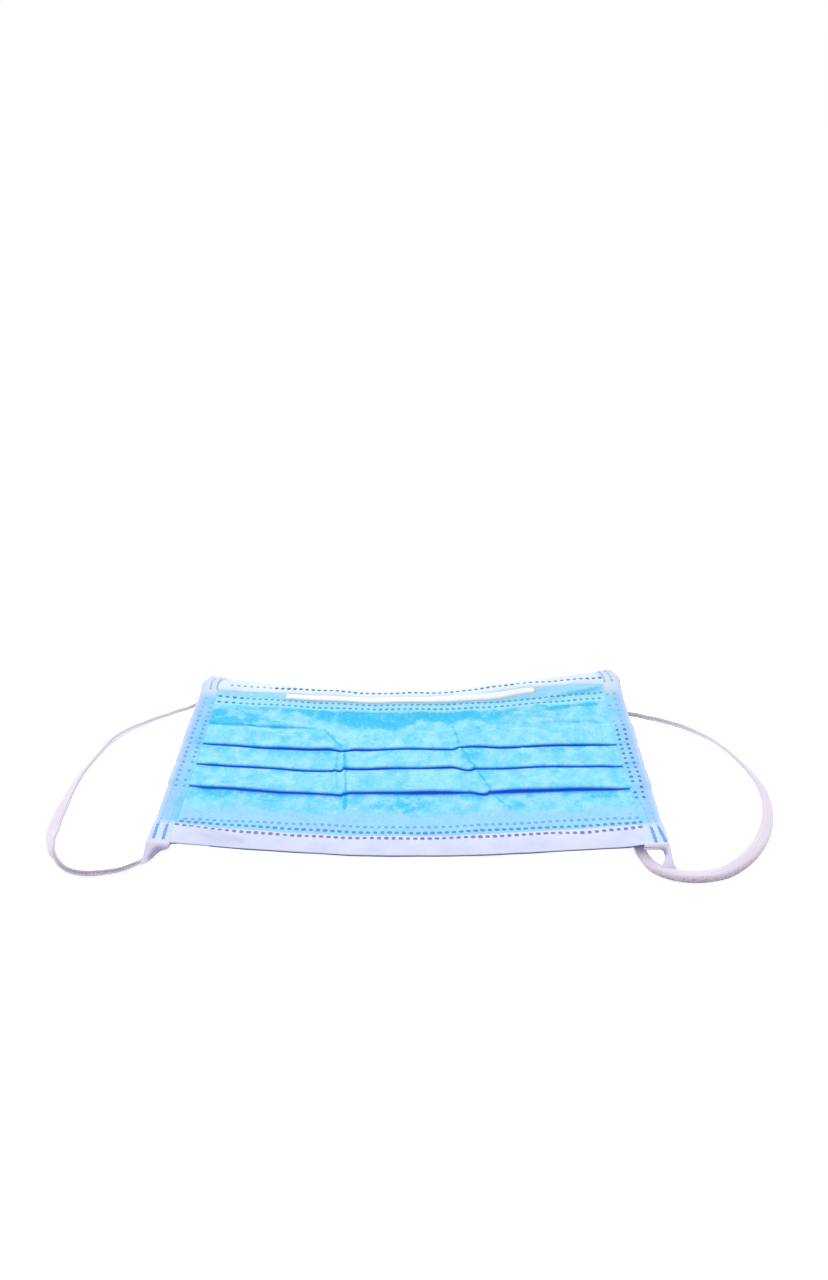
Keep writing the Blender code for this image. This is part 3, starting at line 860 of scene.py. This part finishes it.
def shadesAt(x, y, crease):
    # how much of each shade the blue cloth has at each point of the flat mask
    shades = clothShades
    wander = 0.0014 * np.sin(x / 0.0071 + 0.5) + 0.0010 * np.sin(x / 0.0029)
    deep = ease((shades["deepTop"] - y) / 0.0012)
    deep = deep * ease((y - wander - between(x, shades["deepEdge"]) + 0.0022) / 0.0070)
    deep = deep * between(x, shades["deepStrength"])
    # painted shade just below each fold's lip
    for fold in pleatedBody["folds"]:
        edge = between(x, fold["edge"])
        below = np.exp(-np.abs(y - edge + 0.0018) / 0.0015) * (y < edge)
        deep = np.maximum(deep, shades["foldShade"] * below)
    creaseShades = np.zeros(x.shape)
    for points, rise, half, creaseShade in pleatedBody["creases"]:
        gap, strength = creaseParts(x, y, points)
        # painted shade along one side of each crease, which also dims the paler zones
        beside = near(gap, half * 1.1, 0.0008) * (lineDistance(x + 0.0004, y, points)[0] > gap)
        creaseShades = np.maximum(creaseShades, creaseShade * beside * strength)
    deep = np.maximum(deep, creaseShades)
    for step in pleatedBody["steps"]:
        line, reach = between(x, step["line"]), window(x, *step["reach"])
        deep = np.maximum(deep, step["shadow"] * near(y, line - 0.0004, 0.0007) * reach)
        crease = np.maximum(crease, step["crease"] * near(y, line - 0.0003, 0.0005) * reach)
    for middleX, middleY, wide, high, strength in shades["patches"]:
        deep = np.maximum(deep, strength * near(x, middleX, wide) * near(y + wander * 0.5, middleY, high))
    pale = shades["chinShade"] * ease((-0.0218 - wander * 0.8 - y) / 0.0030)
    pale = np.maximum(pale, shades["noseShade"] * ease((y - 0.0386) / 0.0005)) * (1 - 0.7 * creaseShades)
    band = window(y, between(x, shades["bandEnd"]), 0.0005, 0.0388, 0.0004)
    band = shades["bandShade"] * band * (1 - 0.6 * creaseShades)
    # painted shadow of the nose strip on the cloth just below it
    wireShadow = window(y, 0.0378, 0.0004, 0.0389, 0.0004) * ease((0.054 - np.abs(x)) / 0.004)
    return {"crease": crease, "deep": deep, "pale": pale, "wireShadow": wireShadow, "band": band}


def makeBody():
    shape = pleatedBody
    across = np.linspace(-shape["halfWidth"], shape["halfWidth"], shape["samples"])
    density = np.ones(shape["samples"])
    for low, high in shape["fineColumns"]:
        density += 1.3 * ease((across - low) / 0.002 + 1) * ease((high - across) / 0.002 + 1)
    filled = np.cumsum(density)
    columns = np.interp(np.linspace(filled[0], filled[-1], shape["columns"]), filled, across)
    lines = np.array([makeFoldedLine(x) for x in columns])
    rows = lines.shape[1]
    x = np.repeat(columns[:, None], rows, axis=1)
    y, z, crease = lines[..., 0], lines[..., 1], lines[..., 2]
    dy, dz = np.gradient(y, axis=1), np.gradient(z, axis=1)
    run = np.hypot(dy, dz) / (shape["wall"] / 2)  # both faces lie half the wall from the middle line
    outY, outZ = dz / run, -dy / run
    base = bodyLow(x, y) + reliefAt(x, y)
    outer, inner = laid(x, y + outY, base + z + outZ), laid(x, y - outY, base + z - outZ)
    rings = np.concatenate([outer, inner[:, ::-1]], axis=1)
    inside = np.concatenate([np.zeros(rows - 1), np.ones(rows + 1)]).astype(np.int32)
    shades = shadesAt(x, y, crease).items()
    values = {label: np.concatenate([shade, shade[:, ::-1]], axis=1) for label, shade in shades}
    body = sweptPiece("pleated_cloth", rings, [outerPly, innerPly], inside, values)
    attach(body, "root")
    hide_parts("pleated_body")
    return body


body = makeBody()
print("body made:", len(body.data.polygons), "faces")


# Later pieces are laid on the surface of the earlier ones
def makeSurface(pieces):
    points, faces = [], []
    for piece in pieces:
        start = len(points)
        points += [vertex.co.copy() for vertex in piece.data.vertices]
        faces += [[start + corner for corner in polygon.vertices] for polygon in piece.data.polygons]
    return BVHTree.FromPolygons(points, faces)


def cast(surface, x, y, way=-1):
    # the first point met from above, or from below where the way is 1, and the surface's normal there
    start = -0.01 if way > 0 else 0.04
    return surface.ray_cast(Vector((x, y, start)), Vector((0, 0, way)))[:2]


castArea = {"x": (-0.0850, 0.0850), "y": (-0.0414, 0.0489)}  # just inside the body's edges


def rested(surface, x, y, offset):
    # points of the flat mask, moved up or down onto the pieces already made
    placed = laid(x, y, 0.0)
    within = laid(np.clip(x, *castArea["x"]), np.clip(y, *castArea["y"]), 0.0)
    for spot, start, more in zip(placed, within, np.broadcast_to(offset, np.shape(x))):
        hit = cast(surface, start[0], start[1])[0]
        spot[2] += (hit.z if hit else start[2] + 0.001) - start[2] + more
    return placed


# how finely a folded strip's flaps and its fold are divided
foldedStrip = {
    "flapPoints": 13,
    "foldPoints": 11,
    "above": 0.00003,  # room under the upper flap and the lower flap
    "below": 0.00002,
}

hemShape = {
    "wall": 0.00024,
    "columns": 176,
    "nosePuff": 0.00005,
    "chinPuff": 0.00025,
    "noseLine": (
        (-0.088, 0.0424), (-0.055, 0.0424), (-0.030, 0.0421), (0.000, 0.0423), (0.017, 0.0428),
        (0.035, 0.0432), (0.050, 0.0441), (0.060, 0.0443), (0.088, 0.0429),
    ),
    "chinLine": (
        (-0.088, -0.0318), (-0.060, -0.0334), (-0.030, -0.0337), (0.002, -0.0339), (0.045, -0.0329),
        (0.088, -0.0322),
    ),
    "noseEdge": (
        (-0.088, 0.0510), (-0.045, 0.0500), (0.000, 0.0503), (0.017, 0.0510), (0.050, 0.0507),
        (0.088, 0.0513),
    ),
    "chinEdge": (
        (-0.088, -0.0428), (-0.074, -0.0420), (-0.060, -0.0424), (0.000, -0.0429), (0.070, -0.0426),
        (0.088, -0.0419),
    ),
    "softFold": ((-0.077, -0.0345), (-0.068, -0.0372), (-0.057, -0.0404)),
    "foldRise": 0.0008,
    "foldShade": 0.17,
}


def wrappedRing(facing, upper, lower, wall):
    # a cloth folded over an edge as one closed ring: upper flap, round fold, lower flap, then back inside
    top, bottom = upper[-1], lower[-1]
    middle, reach = (top + bottom) / 2, (top - bottom) / 2
    outward = np.array([*facing, 0.0])
    radius = np.linalg.norm(reach)
    angles = np.radians(np.linspace(90, -90, foldedStrip["foldPoints"]))[:, None]
    fold = reach * np.sin(angles) + outward * radius * np.cos(angles)
    inner = max(radius - wall, 0.00004) / radius
    down = np.array([0.0, 0.0, wall])
    outside = np.concatenate([upper[:-1], middle + fold, lower[:-1][::-1]])
    thin = np.ones((len(upper) - 1, 1))
    thin[0], thin[1] = 0.25, 0.7
    inside = np.concatenate([upper[:-1] - down * thin, middle + fold * inner, (lower[:-1] + down)[::-1]])
    return np.concatenate([outside, inside[::-1]])


def hemRelief(x, y):
    shape = hemShape
    wave = 0.00016 * np.sin(x / 0.0067 + 1.2 * np.sin(y / 0.006)) + 0.00010 * np.sin(x / 0.0026 + 0.7)
    gap, along = lineDistance(x, y, shape["softFold"])
    fold = shape["foldRise"] * near(gap, 0, 0.0015) * window(along, 0, 0.2, 1, 0.2)
    return wave * ease((0.079 - np.abs(x)) / 0.006) + 0.00020 + fold


def hemRings(side, surface):
    shape = hemShape
    wall, flapPoints, foldPoints = shape["wall"], foldedStrip["flapPoints"], foldedStrip["foldPoints"]
    flat = np.linspace(0, 1, flapPoints)
    arch = np.sin(math.pi * flat)
    half = pleatedBody["halfWidth"] - 0.0003
    rings = []
    for x in half * np.linspace(-1, 1, shape["columns"]):
        start, end = float(between(x, shape[side + "Line"])), float(between(x, shape[side + "Edge"]))
        inward = math.copysign(1, start - end)
        xs, ys = np.full(flapPoints, x), start + (end + inward * 0.0006 - start) * flat
        relief = hemRelief(xs, ys)
        puff = shape[side + "Puff"] * arch**1.5 * ease((0.080 - abs(x)) / 0.006)
        raised = wall * np.clip(flat * 7 - 0.3, -0.3, 1) + puff
        upper = rested(surface, xs, ys, raised + foldedStrip["above"] + relief * arch)
        lift = pleatedBody["sideLift"] * float(seated(x)) + foldedStrip["below"]
        lower = laid(xs, ys, lift + 0.4 * relief)
        rings.append(wrappedRing((0.0, -inward), upper, lower, wall))
    rings = np.array(rings)
    # the lower half of the fold turns away from the light
    under = np.zeros(rings.shape[1])
    under[flapPoints - 1:flapPoints - 1 + foldPoints] = ease((np.arange(foldPoints) - 2.1) / 1.4)
    # painted shade along the chin hem's soft fold
    gap = lineDistance(rings[..., 0], rings[..., 1] - 0.0012, shape["softFold"])[0]
    return rings, {"under": np.maximum(under, shape["foldShade"] * near(gap, 0, 0.0013))}


def makeHems():
    made = []
    surface = makeSurface([body])
    for side, cloth in (("nose", noseHemCloth), ("chin", chinHemCloth)):
        rings, values = hemRings(side, surface)
        made.append(sweptPiece(side + "_hem_cloth", rings, [cloth], None, values))
    for piece, node in zip(made, ("nose_hem", "chin_hem")):
        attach(piece, "root")
        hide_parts(node)
    return made


hems = makeHems()
print("hems made")


sideBinding = {
    "wall": 0.0003,
    "inner": 0.0804,
    "startY": {"left": 0.0502, "right": 0.0506},
    "cornerY": 0.0460,  # closer stations above this
    "cornerStations": 12,
    "stations": 132,
    "bulge": 0.0007,
    "foldRoom": 0.0009,  # width that the round fold takes up
    # the free end below the hem: y, inner edge, outer edge, how far it has sunk onto the loop, thickness
    "left": (
        (-0.0424, 0.0801, 0.0882, 0.00, 0.0016), (-0.0434, 0.0806, 0.0882, 0.05, 0.0014),
        (-0.0439, 0.0816, 0.0882, 0.14, 0.0012), (-0.0443, 0.0830, 0.0883, 0.25, 0.0010),
        (-0.0452, 0.0845, 0.0885, 0.50, 0.0009), (-0.0460, 0.0856, 0.0888, 0.75, 0.0008),
        (-0.0468, 0.0865, 0.0891, 0.92, 0.0007), (-0.0474, 0.0874, 0.0893, 1.00, 0.0006),
        (-0.0480, 0.0882, 0.0894, 1.08, 0.0005),
    ),
    "right": (
        (-0.0422, 0.0796, 0.0880, 0.00, 0.0011), (-0.0428, 0.0794, 0.0879, 0.03, 0.0010),
        (-0.0431, 0.0806, 0.0879, 0.06, 0.0009), (-0.0432, 0.0846, 0.0879, 0.09, 0.0009),
        (-0.0438, 0.0857, 0.0880, 0.15, 0.0008), (-0.0453, 0.0859, 0.0881, 0.34, 0.0008),
        (-0.0470, 0.0854, 0.0883, 0.54, 0.0008), (-0.0483, 0.0846, 0.0885, 0.72, 0.0007),
        (-0.0492, 0.0840, 0.0889, 0.90, 0.0006), (-0.0498, 0.0840, 0.0894, 1.08, 0.0005),
        (-0.0502, 0.0846, 0.0897, 1.20, 0.0004),
    ),
    "restHeight": {"left": 0.0032, "right": 0.0026},
    # how far down the tail its painted shade reaches
    "tailShadeEnd": {"left": 0.75, "right": 0.25},
}


def makeBinding(side, sign, surface):
    shape = sideBinding
    half, wall, count = maskShape["halfWidth"], shape["wall"], foldedStrip["flapPoints"]
    flat = np.linspace(0, 1, count)
    free = np.array(shape[side])
    cornerYs = np.linspace(shape["startY"][side], shape["cornerY"], shape["cornerStations"])[:-1]
    mainYs = np.concatenate([cornerYs, np.linspace(shape["cornerY"], free[0, 0], shape["stations"])])
    uppers, lowers, edges = [], [], []
    for y in mainYs:
        bulge = shape["bulge"] * float(window(y, -0.044, 0.03, 0.048, 0.03))
        outer = half + bulge + (free[0, 2] - half) * float(ease((-0.030 - y) / 0.012))
        inner = shape["inner"] + (free[0, 1] - shape["inner"]) * float(ease((-0.036 - y) / 0.006))
        across = inner + (outer - shape["foldRoom"] - inner) * flat
        raised = wall * np.clip(flat * 6 - 0.25, -0.25, 1) + foldedStrip["above"]
        uppers.append(rested(surface, sign * across, np.full(count, y), raised))
        lowers.append(laid(sign * across, np.full(count, y), foldedStrip["below"]))
        edges.append((outer, inner, 0.0))
    uppers, lowers = np.array(uppers), np.array(lowers)
    for repeat in range(3):
        uppers[1:-1, :, 2] = uppers[1:-1, :, 2] * 0.5 + (uppers[:-2, :, 2] + uppers[2:, :, 2]) * 0.25
    steps = np.linspace(0, len(free) - 1, 2 * len(free) - 1)[1:]
    freeUppers, freeLowers = [], []
    for step in steps:
        y, inner, outer, sunk, thick = (np.interp(step, np.arange(len(free)), free[:, i]) for i in range(5))
        across = inner + (outer - thick / 2 - inner) * flat
        rest = shape["restHeight"][side]
        top = uppers[-1, -1, 2] + (rest - uppers[-1, -1, 2]) * sunk
        tilt = (uppers[-1, :, 2] - uppers[-1, -1, 2]) * (1 - min(sunk, 1))
        tops = top + tilt * (across - outer) / (inner - outer + 1e-6)
        depth = thick + (uppers[-1, -1, 2] - lowers[-1, -1, 2] - thick) * max(0, 1 - sunk * 8)
        freeUppers.append(np.column_stack([sign * across, np.full(count, y), tops]))
        freeLowers.append(np.column_stack([sign * across, np.full(count, y), tops - depth]))
        edges.append((outer, inner, sunk))
    rings, looks = [], {label: [] for label in ("outward", "folded", "layered", "free", "tailShade")}
    allUppers, allLowers = [*uppers, *freeUppers], [*lowers, *freeLowers]
    for upper, lower, (outer, inner, sunk) in zip(allUppers, allLowers, edges):
        ring = wrappedRing((sign, 0.0), upper, lower, wall)
        out, y = np.abs(ring[:, 0]), ring[0, 1]
        rings.append(ring)
        away = (out - inner) / (outer - inner)
        looks["outward"].append(ease((away - 0.15) / 0.5) * 0.9)
        looks["folded"].append(ease((out - outer + 0.0024) / 0.0016) * 0.9)
        chinHem, noseHem = ease((-0.0300 - y) / 0.005), ease((y - 0.0350) / 0.008)
        bare = chinHem * 0.88 + ease((-0.0405 - y) / 0.0015) * 0.4 + noseHem * 0.95
        looks["layered"].append(np.full(len(ring), bare))
        loose = float(ease(sunk * 5)) + 0.5 * float(ease((-0.0412 - y) / 0.001))
        looks["free"].append(np.full(len(ring), loose).clip(0, 1))
        # painted shade on the inner part of the free tail as it sinks onto the loop
        tailShade = min(1, max(0, sunk - 0.03) * 6) * (1 - ease((sunk - shape["tailShadeEnd"][side]) / 0.3))
        looks["tailShade"].append(ease((0.62 - away) / 0.45) * tailShade)
    values = {label: np.array(value) for label, value in looks.items()}
    piece = sweptPiece("side_binding_cloth_" + side, np.array(rings), [bindingCloth], None, values)
    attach(piece, "root")
    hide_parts("side_binding_" + side)
    return piece


clothSurface = makeSurface([body, *hems])
bindings = [makeBinding("left", -1, clothSurface), makeBinding("right", 1, clothSurface)]
print("side bindings made")


noseWire = {
    "length": 0.104,
    "thickness": 0.0004,
    "columns": 120,
    "top": (
        (-0.052, 0.0421), (-0.034, 0.0422), (0.000, 0.0425), (0.017, 0.0431), (0.034, 0.0430),
        (0.052, 0.0441),
    ),
    "bottom": ((-0.052, 0.0388), (0.000, 0.0388), (0.017, 0.0389), (0.032, 0.0392), (0.052, 0.0411)),
}


def makeNoseWire():
    shape = noseWire
    rings = []
    for x in np.linspace(-shape["length"] / 2, shape["length"] / 2, shape["columns"]):
        top, bottom = float(between(x, shape["top"])), float(between(x, shape["bottom"]))
        share = np.array([0.0, 0.04, 0.12, 0.22, 0.34, 0.5, 0.66, 0.78, 0.88, 0.96, 1.0])
        y = bottom + (top - bottom) * share
        ribs = 0.00006 * np.cos(share * 4 * math.pi)
        rounded = np.sqrt(np.clip(1 - (np.abs(share - 0.5) * 2) ** 8, 0, 1))
        base = float(bodyLow(x, (top + bottom) / 2)) + pleatedBody["wall"] / 2 - 0.00006
        relief = reliefAt(np.full(len(y), x), y)
        high = base + relief + shape["thickness"] * (0.2 + 0.8 * rounded) - ribs
        low = base + relief
        ring = np.concatenate([np.column_stack([y, high]), np.column_stack([y, low])[::-1]])
        rings.append(laid(np.full(len(ring), x), ring[:, 0], ring[:, 1]))
    piece = sweptPiece("nose_strip_bar", np.array(rings), [noseStrip])
    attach(piece, "root")
    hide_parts("nose_wire")
    return piece


wire = makeNoseWire()
print("nose strip made")


# Pressed weld marks: slot, main and rim colour, pitch and size of one mark (mm), share kept,
# then the points of each row on the flat mask (mm)
weldGroups = {
    "nose_hem_welds": (
        "hem", (62, 84, 150), (88, 112, 176), 2.5, (1.75, 2.2, 0.4), 1.0,
        ((-56.5, 45.9), (-34, 46.1), (-7, 46.0), (17, 45.9), (33, 47.1), (43, 47.2)),
    ),
    "nose_left_welds": (
        "hem", (116, 142, 196), (142, 168, 210), 2.5, (1.5, 1.1, 0.2), 0.97,
        ((-78, 45.7), (-59, 45.9)),
    ),
    "nose_right_welds": (
        "hem", (82, 106, 172), (112, 138, 194), 2.5, (1.7, 1.35, 0.2), 1.0,
        ((45.5, 47.25), (52, 47.3), (63, 47.4), (80, 46.7)),
    ),
    "channel_welds": (
        "outer_ply", (70, 132, 208), (104, 168, 228), 2.5, (1.6, 1.0, 0.2), 1.0,
        ((-70, 38.6), (-62, 38.4), (-46, 37.8), (-4, 37.6), (29, 38.0), (54, 38.3), (79, 39.3)),
        ((-70, 35.6), (-46, 35.4), (-4, 35.5), (29, 35.6), (54, 36.0), (78, 36.5)),
    ),
    "channel_end_welds": (
        "outer_ply", (36, 80, 168), (60, 110, 196), 2.3, (1.7, 1.2, 0.2), 1.0,
        ((-79, 38.9), (-70, 38.6)),
        ((-79, 35.7), (-70, 35.6)),
    ),
    "chin_first_welds": (
        "outer_ply", (88, 154, 234), (116, 180, 241), 2.5, (1.6, 1.45, 0.2), 1.0,
        ((-78, -29.8), (-66, -29.6), (-35, -29.2), (0, -29.8), (35, -28.8), (58, -28.3), (80, -28.8)),
    ),
    "chin_second_welds": (
        "outer_ply", (44, 118, 218), (76, 150, 232), 2.5, (1.8, 1.4, 0.2), 1.0,
        ((-79, -31.2), (-55, -31.8), (-30, -32.0), (2, -32.7), (35, -31.4), (63, -31.5), (81, -31.2)),
    ),
    "chin_hem_welds": (
        "hem", (94, 98, 180), (124, 132, 202), 2.5, (1.7, 1.6, 0.2), 1.0,
        (
            (-80, -33.2), (-59, -35.0), (-34, -35.4), (-11, -35.2), (2, -35.7),
            (20, -35.0), (43, -34.7), (62, -35.1), (80, -33.9),
        ),
    ),
    "left_dot_welds": (
        "binding", (70, 138, 226), (104, 168, 238), 2.6, (1.3, 1.3, 0.16), 0.95,
        ((-81.9, 26), (-82.0, 10), (-82.1, -2), (-82.2, -13.5)),
        ((-85.1, 26), (-85.4, 10), (-85.5, -2), (-85.3, -13.5)),
    ),
    "right_dot_welds": (
        "binding", (32, 92, 204), (58, 122, 220), 2.6, (1.35, 1.4, 0.16), 0.97,
        ((81.8, 20), (81.9, 5), (82.1, -8), (81.9, -19)),
        ((84.8, 20), (84.5, 8), (85.0, -8), (84.5, -19)),
    ),
    "binding_faint_welds": (
        "binding", (104, 166, 232), (130, 188, 240), 2.6, (1.2, 1.2, 0.16), 0.92,
        ((-81.6, 37), (-81.9, 26)),
        ((-84.7, 37), (-85.1, 26)),
        ((81.5, 38), (81.8, 20)),
        ((84.3, 38), (84.8, 20)),
    ),
    "binding_seam_welds": (
        "binding", (122, 182, 242), (140, 196, 246), 2.1, (1.6, 0.7, 0.12), 0.9,
        ((-82.2, -15), (-82.6, -24), (-82.9, -33)),
        ((-86.3, -15), (-86.0, -24), (-86.0, -33)),
        ((82.3, -20), (83.4, -26), (83.2, -34)),
        ((84.8, -20), (85.5, -26), (85.9, -34)),
    ),
    "binding_bar_welds": (
        "binding", (78, 148, 232), (110, 174, 240), 1.45, (1.9, 1.3, 0.2), 1.0,
        ((-83.0, -34.6), (-82.7, -40.6)),
        ((-86.1, -34.6), (-85.9, -40.6)),
        ((83.4, -35.4), (83.5, -41.2)),
        ((85.9, -35.4), (86.6, -41.2)),
    ),
    "binding_nose_welds": (
        "binding", (124, 184, 238), (150, 200, 244), 1.45, (1.8, 0.9, 0.18), 1.0,
        ((-84.3, 48.3), (-83.8, 42.6)),
        ((-81.5, 48.5), (-81.1, 42.8)),
        ((81.7, 49.6), (81.3, 44.8)),
        ((84.5, 49.8), (84.2, 44.8)),
    ),
}
# the same rows, as they show on the white underside
backWelds = {
    "look": ("hem", (196, 206, 226), (214, 222, 238), 2.5, (1.2, 0.55, 0.14), 0.98),
    "groups": (
        "nose_left_welds", "nose_hem_welds", "nose_right_welds", "channel_welds", "chin_first_welds",
        "chin_second_welds", "chin_hem_welds",
    ),
}
weldSettings = {"unevenness": 0.14, "seed": 3, "step": 0.0009}


def makeWeldTree():
    inputs = (
        ("Rows", "NodeSocketGeometry", None),
        ("Pitch", "NodeSocketFloat", 0.0025),
        ("Size", "NodeSocketVector", (0.001, 0.001, 0.001)),
        ("Unevenness", "NodeSocketFloat", weldSettings["unevenness"]),
        ("Kept Share", "NodeSocketFloat", 0.97),
        ("Seed", "NodeSocketInt", weldSettings["seed"]),
        ("Material", "NodeSocketMaterial", None),
    )
    tree, given, result = newGroup("weldRows", "GeometryNodeTree", inputs, (("Marks", "NodeSocketGeometry"),))
    curve = put(tree, "GeometryNodeMeshToCurve", {"Mesh": given["Rows"]}).outputs[0]
    spaced = put(tree, "GeometryNodeResampleCurve", {"Curve": curve, "Length": given["Pitch"]}, mode="LENGTH")
    block = put(tree, "GeometryNodeMeshCube", {"Vertices X": 3}).outputs[0]
    mark = put(tree, "GeometryNodeSubdivisionSurface", {"Mesh": block, "Level": 1})
    chance = {6: given["Kept Share"], "Seed": given["Seed"]}
    kept = put(tree, "FunctionNodeRandomValue", chance, data_type="BOOLEAN")
    tangent = put(tree, "GeometryNodeInputTangent").outputs[0]
    up = put(tree, "GeometryNodeInputNamedAttribute", {"Name": "up"}, data_type="FLOAT_VECTOR").outputs[0]
    along = put(tree, "FunctionNodeAlignRotationToVector", {"Vector": tangent}, axis="X").outputs[0]
    standing = {"Rotation": along, "Vector": up}
    upright = put(tree, "FunctionNodeAlignRotationToVector", standing, axis="Z", pivot_axis="X")
    least = calc(tree, "SUBTRACT", 1.0, given["Unevenness"])
    most = calc(tree, "ADD", 1.0, given["Unevenness"])
    spread = {0: least, 1: most, "Seed": given["Seed"]}
    uneven = put(tree, "FunctionNodeRandomValue", spread, data_type="FLOAT_VECTOR").outputs[0]
    scale = put(tree, "ShaderNodeVectorMath", {0: given["Size"], 1: uneven}, operation="MULTIPLY").outputs[0]
    placed = put(tree, "GeometryNodeInstanceOnPoints", {
        "Points": spaced.outputs[0], "Selection": kept.outputs[3], "Instance": mark.outputs[0],
        "Rotation": upright.outputs[0], "Scale": scale,
    })
    real = put(tree, "GeometryNodeRealizeInstances", {"Geometry": placed.outputs[0]}).outputs[0]
    colored = put(tree, "GeometryNodeSetMaterial", {"Geometry": real, "Material": given["Material"]})
    fill(tree, result, {"Marks": colored.outputs[0]})
    return tree


weldTree = makeWeldTree()


def makeWelds(name, group, surface, way=-1):
    slot, main, rim, pitch, size, kept, *rows = group
    points, edges, ups = [], [], []
    for row in rows:
        line = np.array(row) / 1000
        walked = walkedAlong(line)
        wanted = np.linspace(0, walked[-1], max(2, round(walked[-1] / weldSettings["step"])))
        flatX, flatY = np.interp(wanted, walked, line[:, 0]), np.interp(wanted, walked, line[:, 1])
        for i, spot in enumerate(laid(flatX, flatY, 0.0)):
            hit, normal = cast(surface, spot[0], spot[1], way)
            if hit is None:
                continue
            if i and points:
                edges.append((len(points) - 1, len(points)))
            points.append(hit)
            ups.append(normal if normal.z * way < 0 else -normal)
    mesh = bpy.data.meshes.new(name)
    mesh.from_pydata(points, edges, [])
    upward = mesh.attributes.new("up", "FLOAT_VECTOR", "POINT")
    upward.data.foreach_set("vector", np.array(ups, np.float32).ravel())
    piece = bpy.data.objects.new(name, mesh)
    scene.collection.objects.link(piece)
    values = {
        "Pitch": pitch / 1000, "Size": [value / 1000 for value in size],
        "Unevenness": weldSettings["unevenness"], "Kept Share": kept, "Seed": weldSettings["seed"],
        "Material": makeHardFinish(name.replace("_", " "), hardLooks["weld"], main, rim),
    }
    modifier = piece.modifiers.new("weldRows", "NODES")
    modifier.node_group = weldTree
    for item in weldTree.interface.items_tree:
        if item.in_out == "INPUT" and item.name in values:
            modifier[item.identifier] = values[item.name]
    finished = piece.evaluated_get(bpy.context.evaluated_depsgraph_get())
    built = bpy.data.meshes.new_from_object(finished)
    piece.modifiers.clear()
    piece.data = built
    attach(piece, "root")
    return piece


def makeAllWelds():
    topSurface = makeSurface([body, *hems, *bindings])
    made = [makeWelds(name, group, topSurface) for name, group in weldGroups.items()]
    lookCount = len(backWelds["look"])
    rows = [row for name in backWelds["groups"] for row in weldGroups[name][lookCount:]]
    made.append(makeWelds("back_row_welds", (*backWelds["look"], *rows), makeSurface([body, *hems]), 1))
    return made


welds = makeAllWelds()
print("weld marks made:", sum(len(piece.data.polygons) for piece in welds), "faces")


# Floor and light
stageShape = {
    "half": 4.0,
    "floorShade": 0.90,
    "floorGlow": 0.5,
    "keyPower": 9.0,
    "keySize": (1.4, 0.9),
    "keyPlace": (-0.25, 0.75, 0.95),
    "skyStrength": 1.0,
}


def makeStage():
    mesh = bpy.data.meshes.new("floor")
    half = stageShape["half"]
    corners = [(x * half, y * half, 0) for x, y in ((-1, -1), (1, -1), (1, 1), (-1, 1))]
    mesh.from_pydata(corners, [], [(0, 1, 2, 3)])
    floor = bpy.data.objects.new("floor", mesh)
    scene.collection.objects.link(floor)
    material, tree, surface = newMaterial("floor paper")
    shade = stageShape["floorShade"]
    tone = noise(tree, objectPlace(tree), 6.0, 2.0)
    fill(tree, surface, {
        "Base Color": mixed(tree, tone, (shade, shade, shade, 1), (shade * 0.99, shade * 0.99, shade, 1)),
        "Roughness": 0.9, "Specular IOR Level": 0.0,
        "Emission Color": (1, 1, 1, 1), "Emission Strength": stageShape["floorGlow"],
    })
    mesh.materials.append(material)
    lamp = bpy.data.lights.new("soft key", "AREA")
    lamp.shape = "RECTANGLE"
    lamp.size, lamp.size_y = stageShape["keySize"]
    lamp.energy = stageShape["keyPower"]
    key = bpy.data.objects.new("soft key", lamp)
    key.location = stageShape["keyPlace"]
    key.rotation_euler = (-key.location).to_track_quat("-Z", "Y").to_euler()
    scene.collection.objects.link(key)
    world = bpy.data.worlds.new("studio")
    world.use_nodes = True
    background = world.node_tree.nodes["Background"]
    fill(world.node_tree, background, {"Color": (1.0, 1.0, 1.0, 1), "Strength": stageShape["skyStrength"]})
    scene.world = world
    scene.view_settings.view_transform = "Standard"


makeStage()
print("stage made")
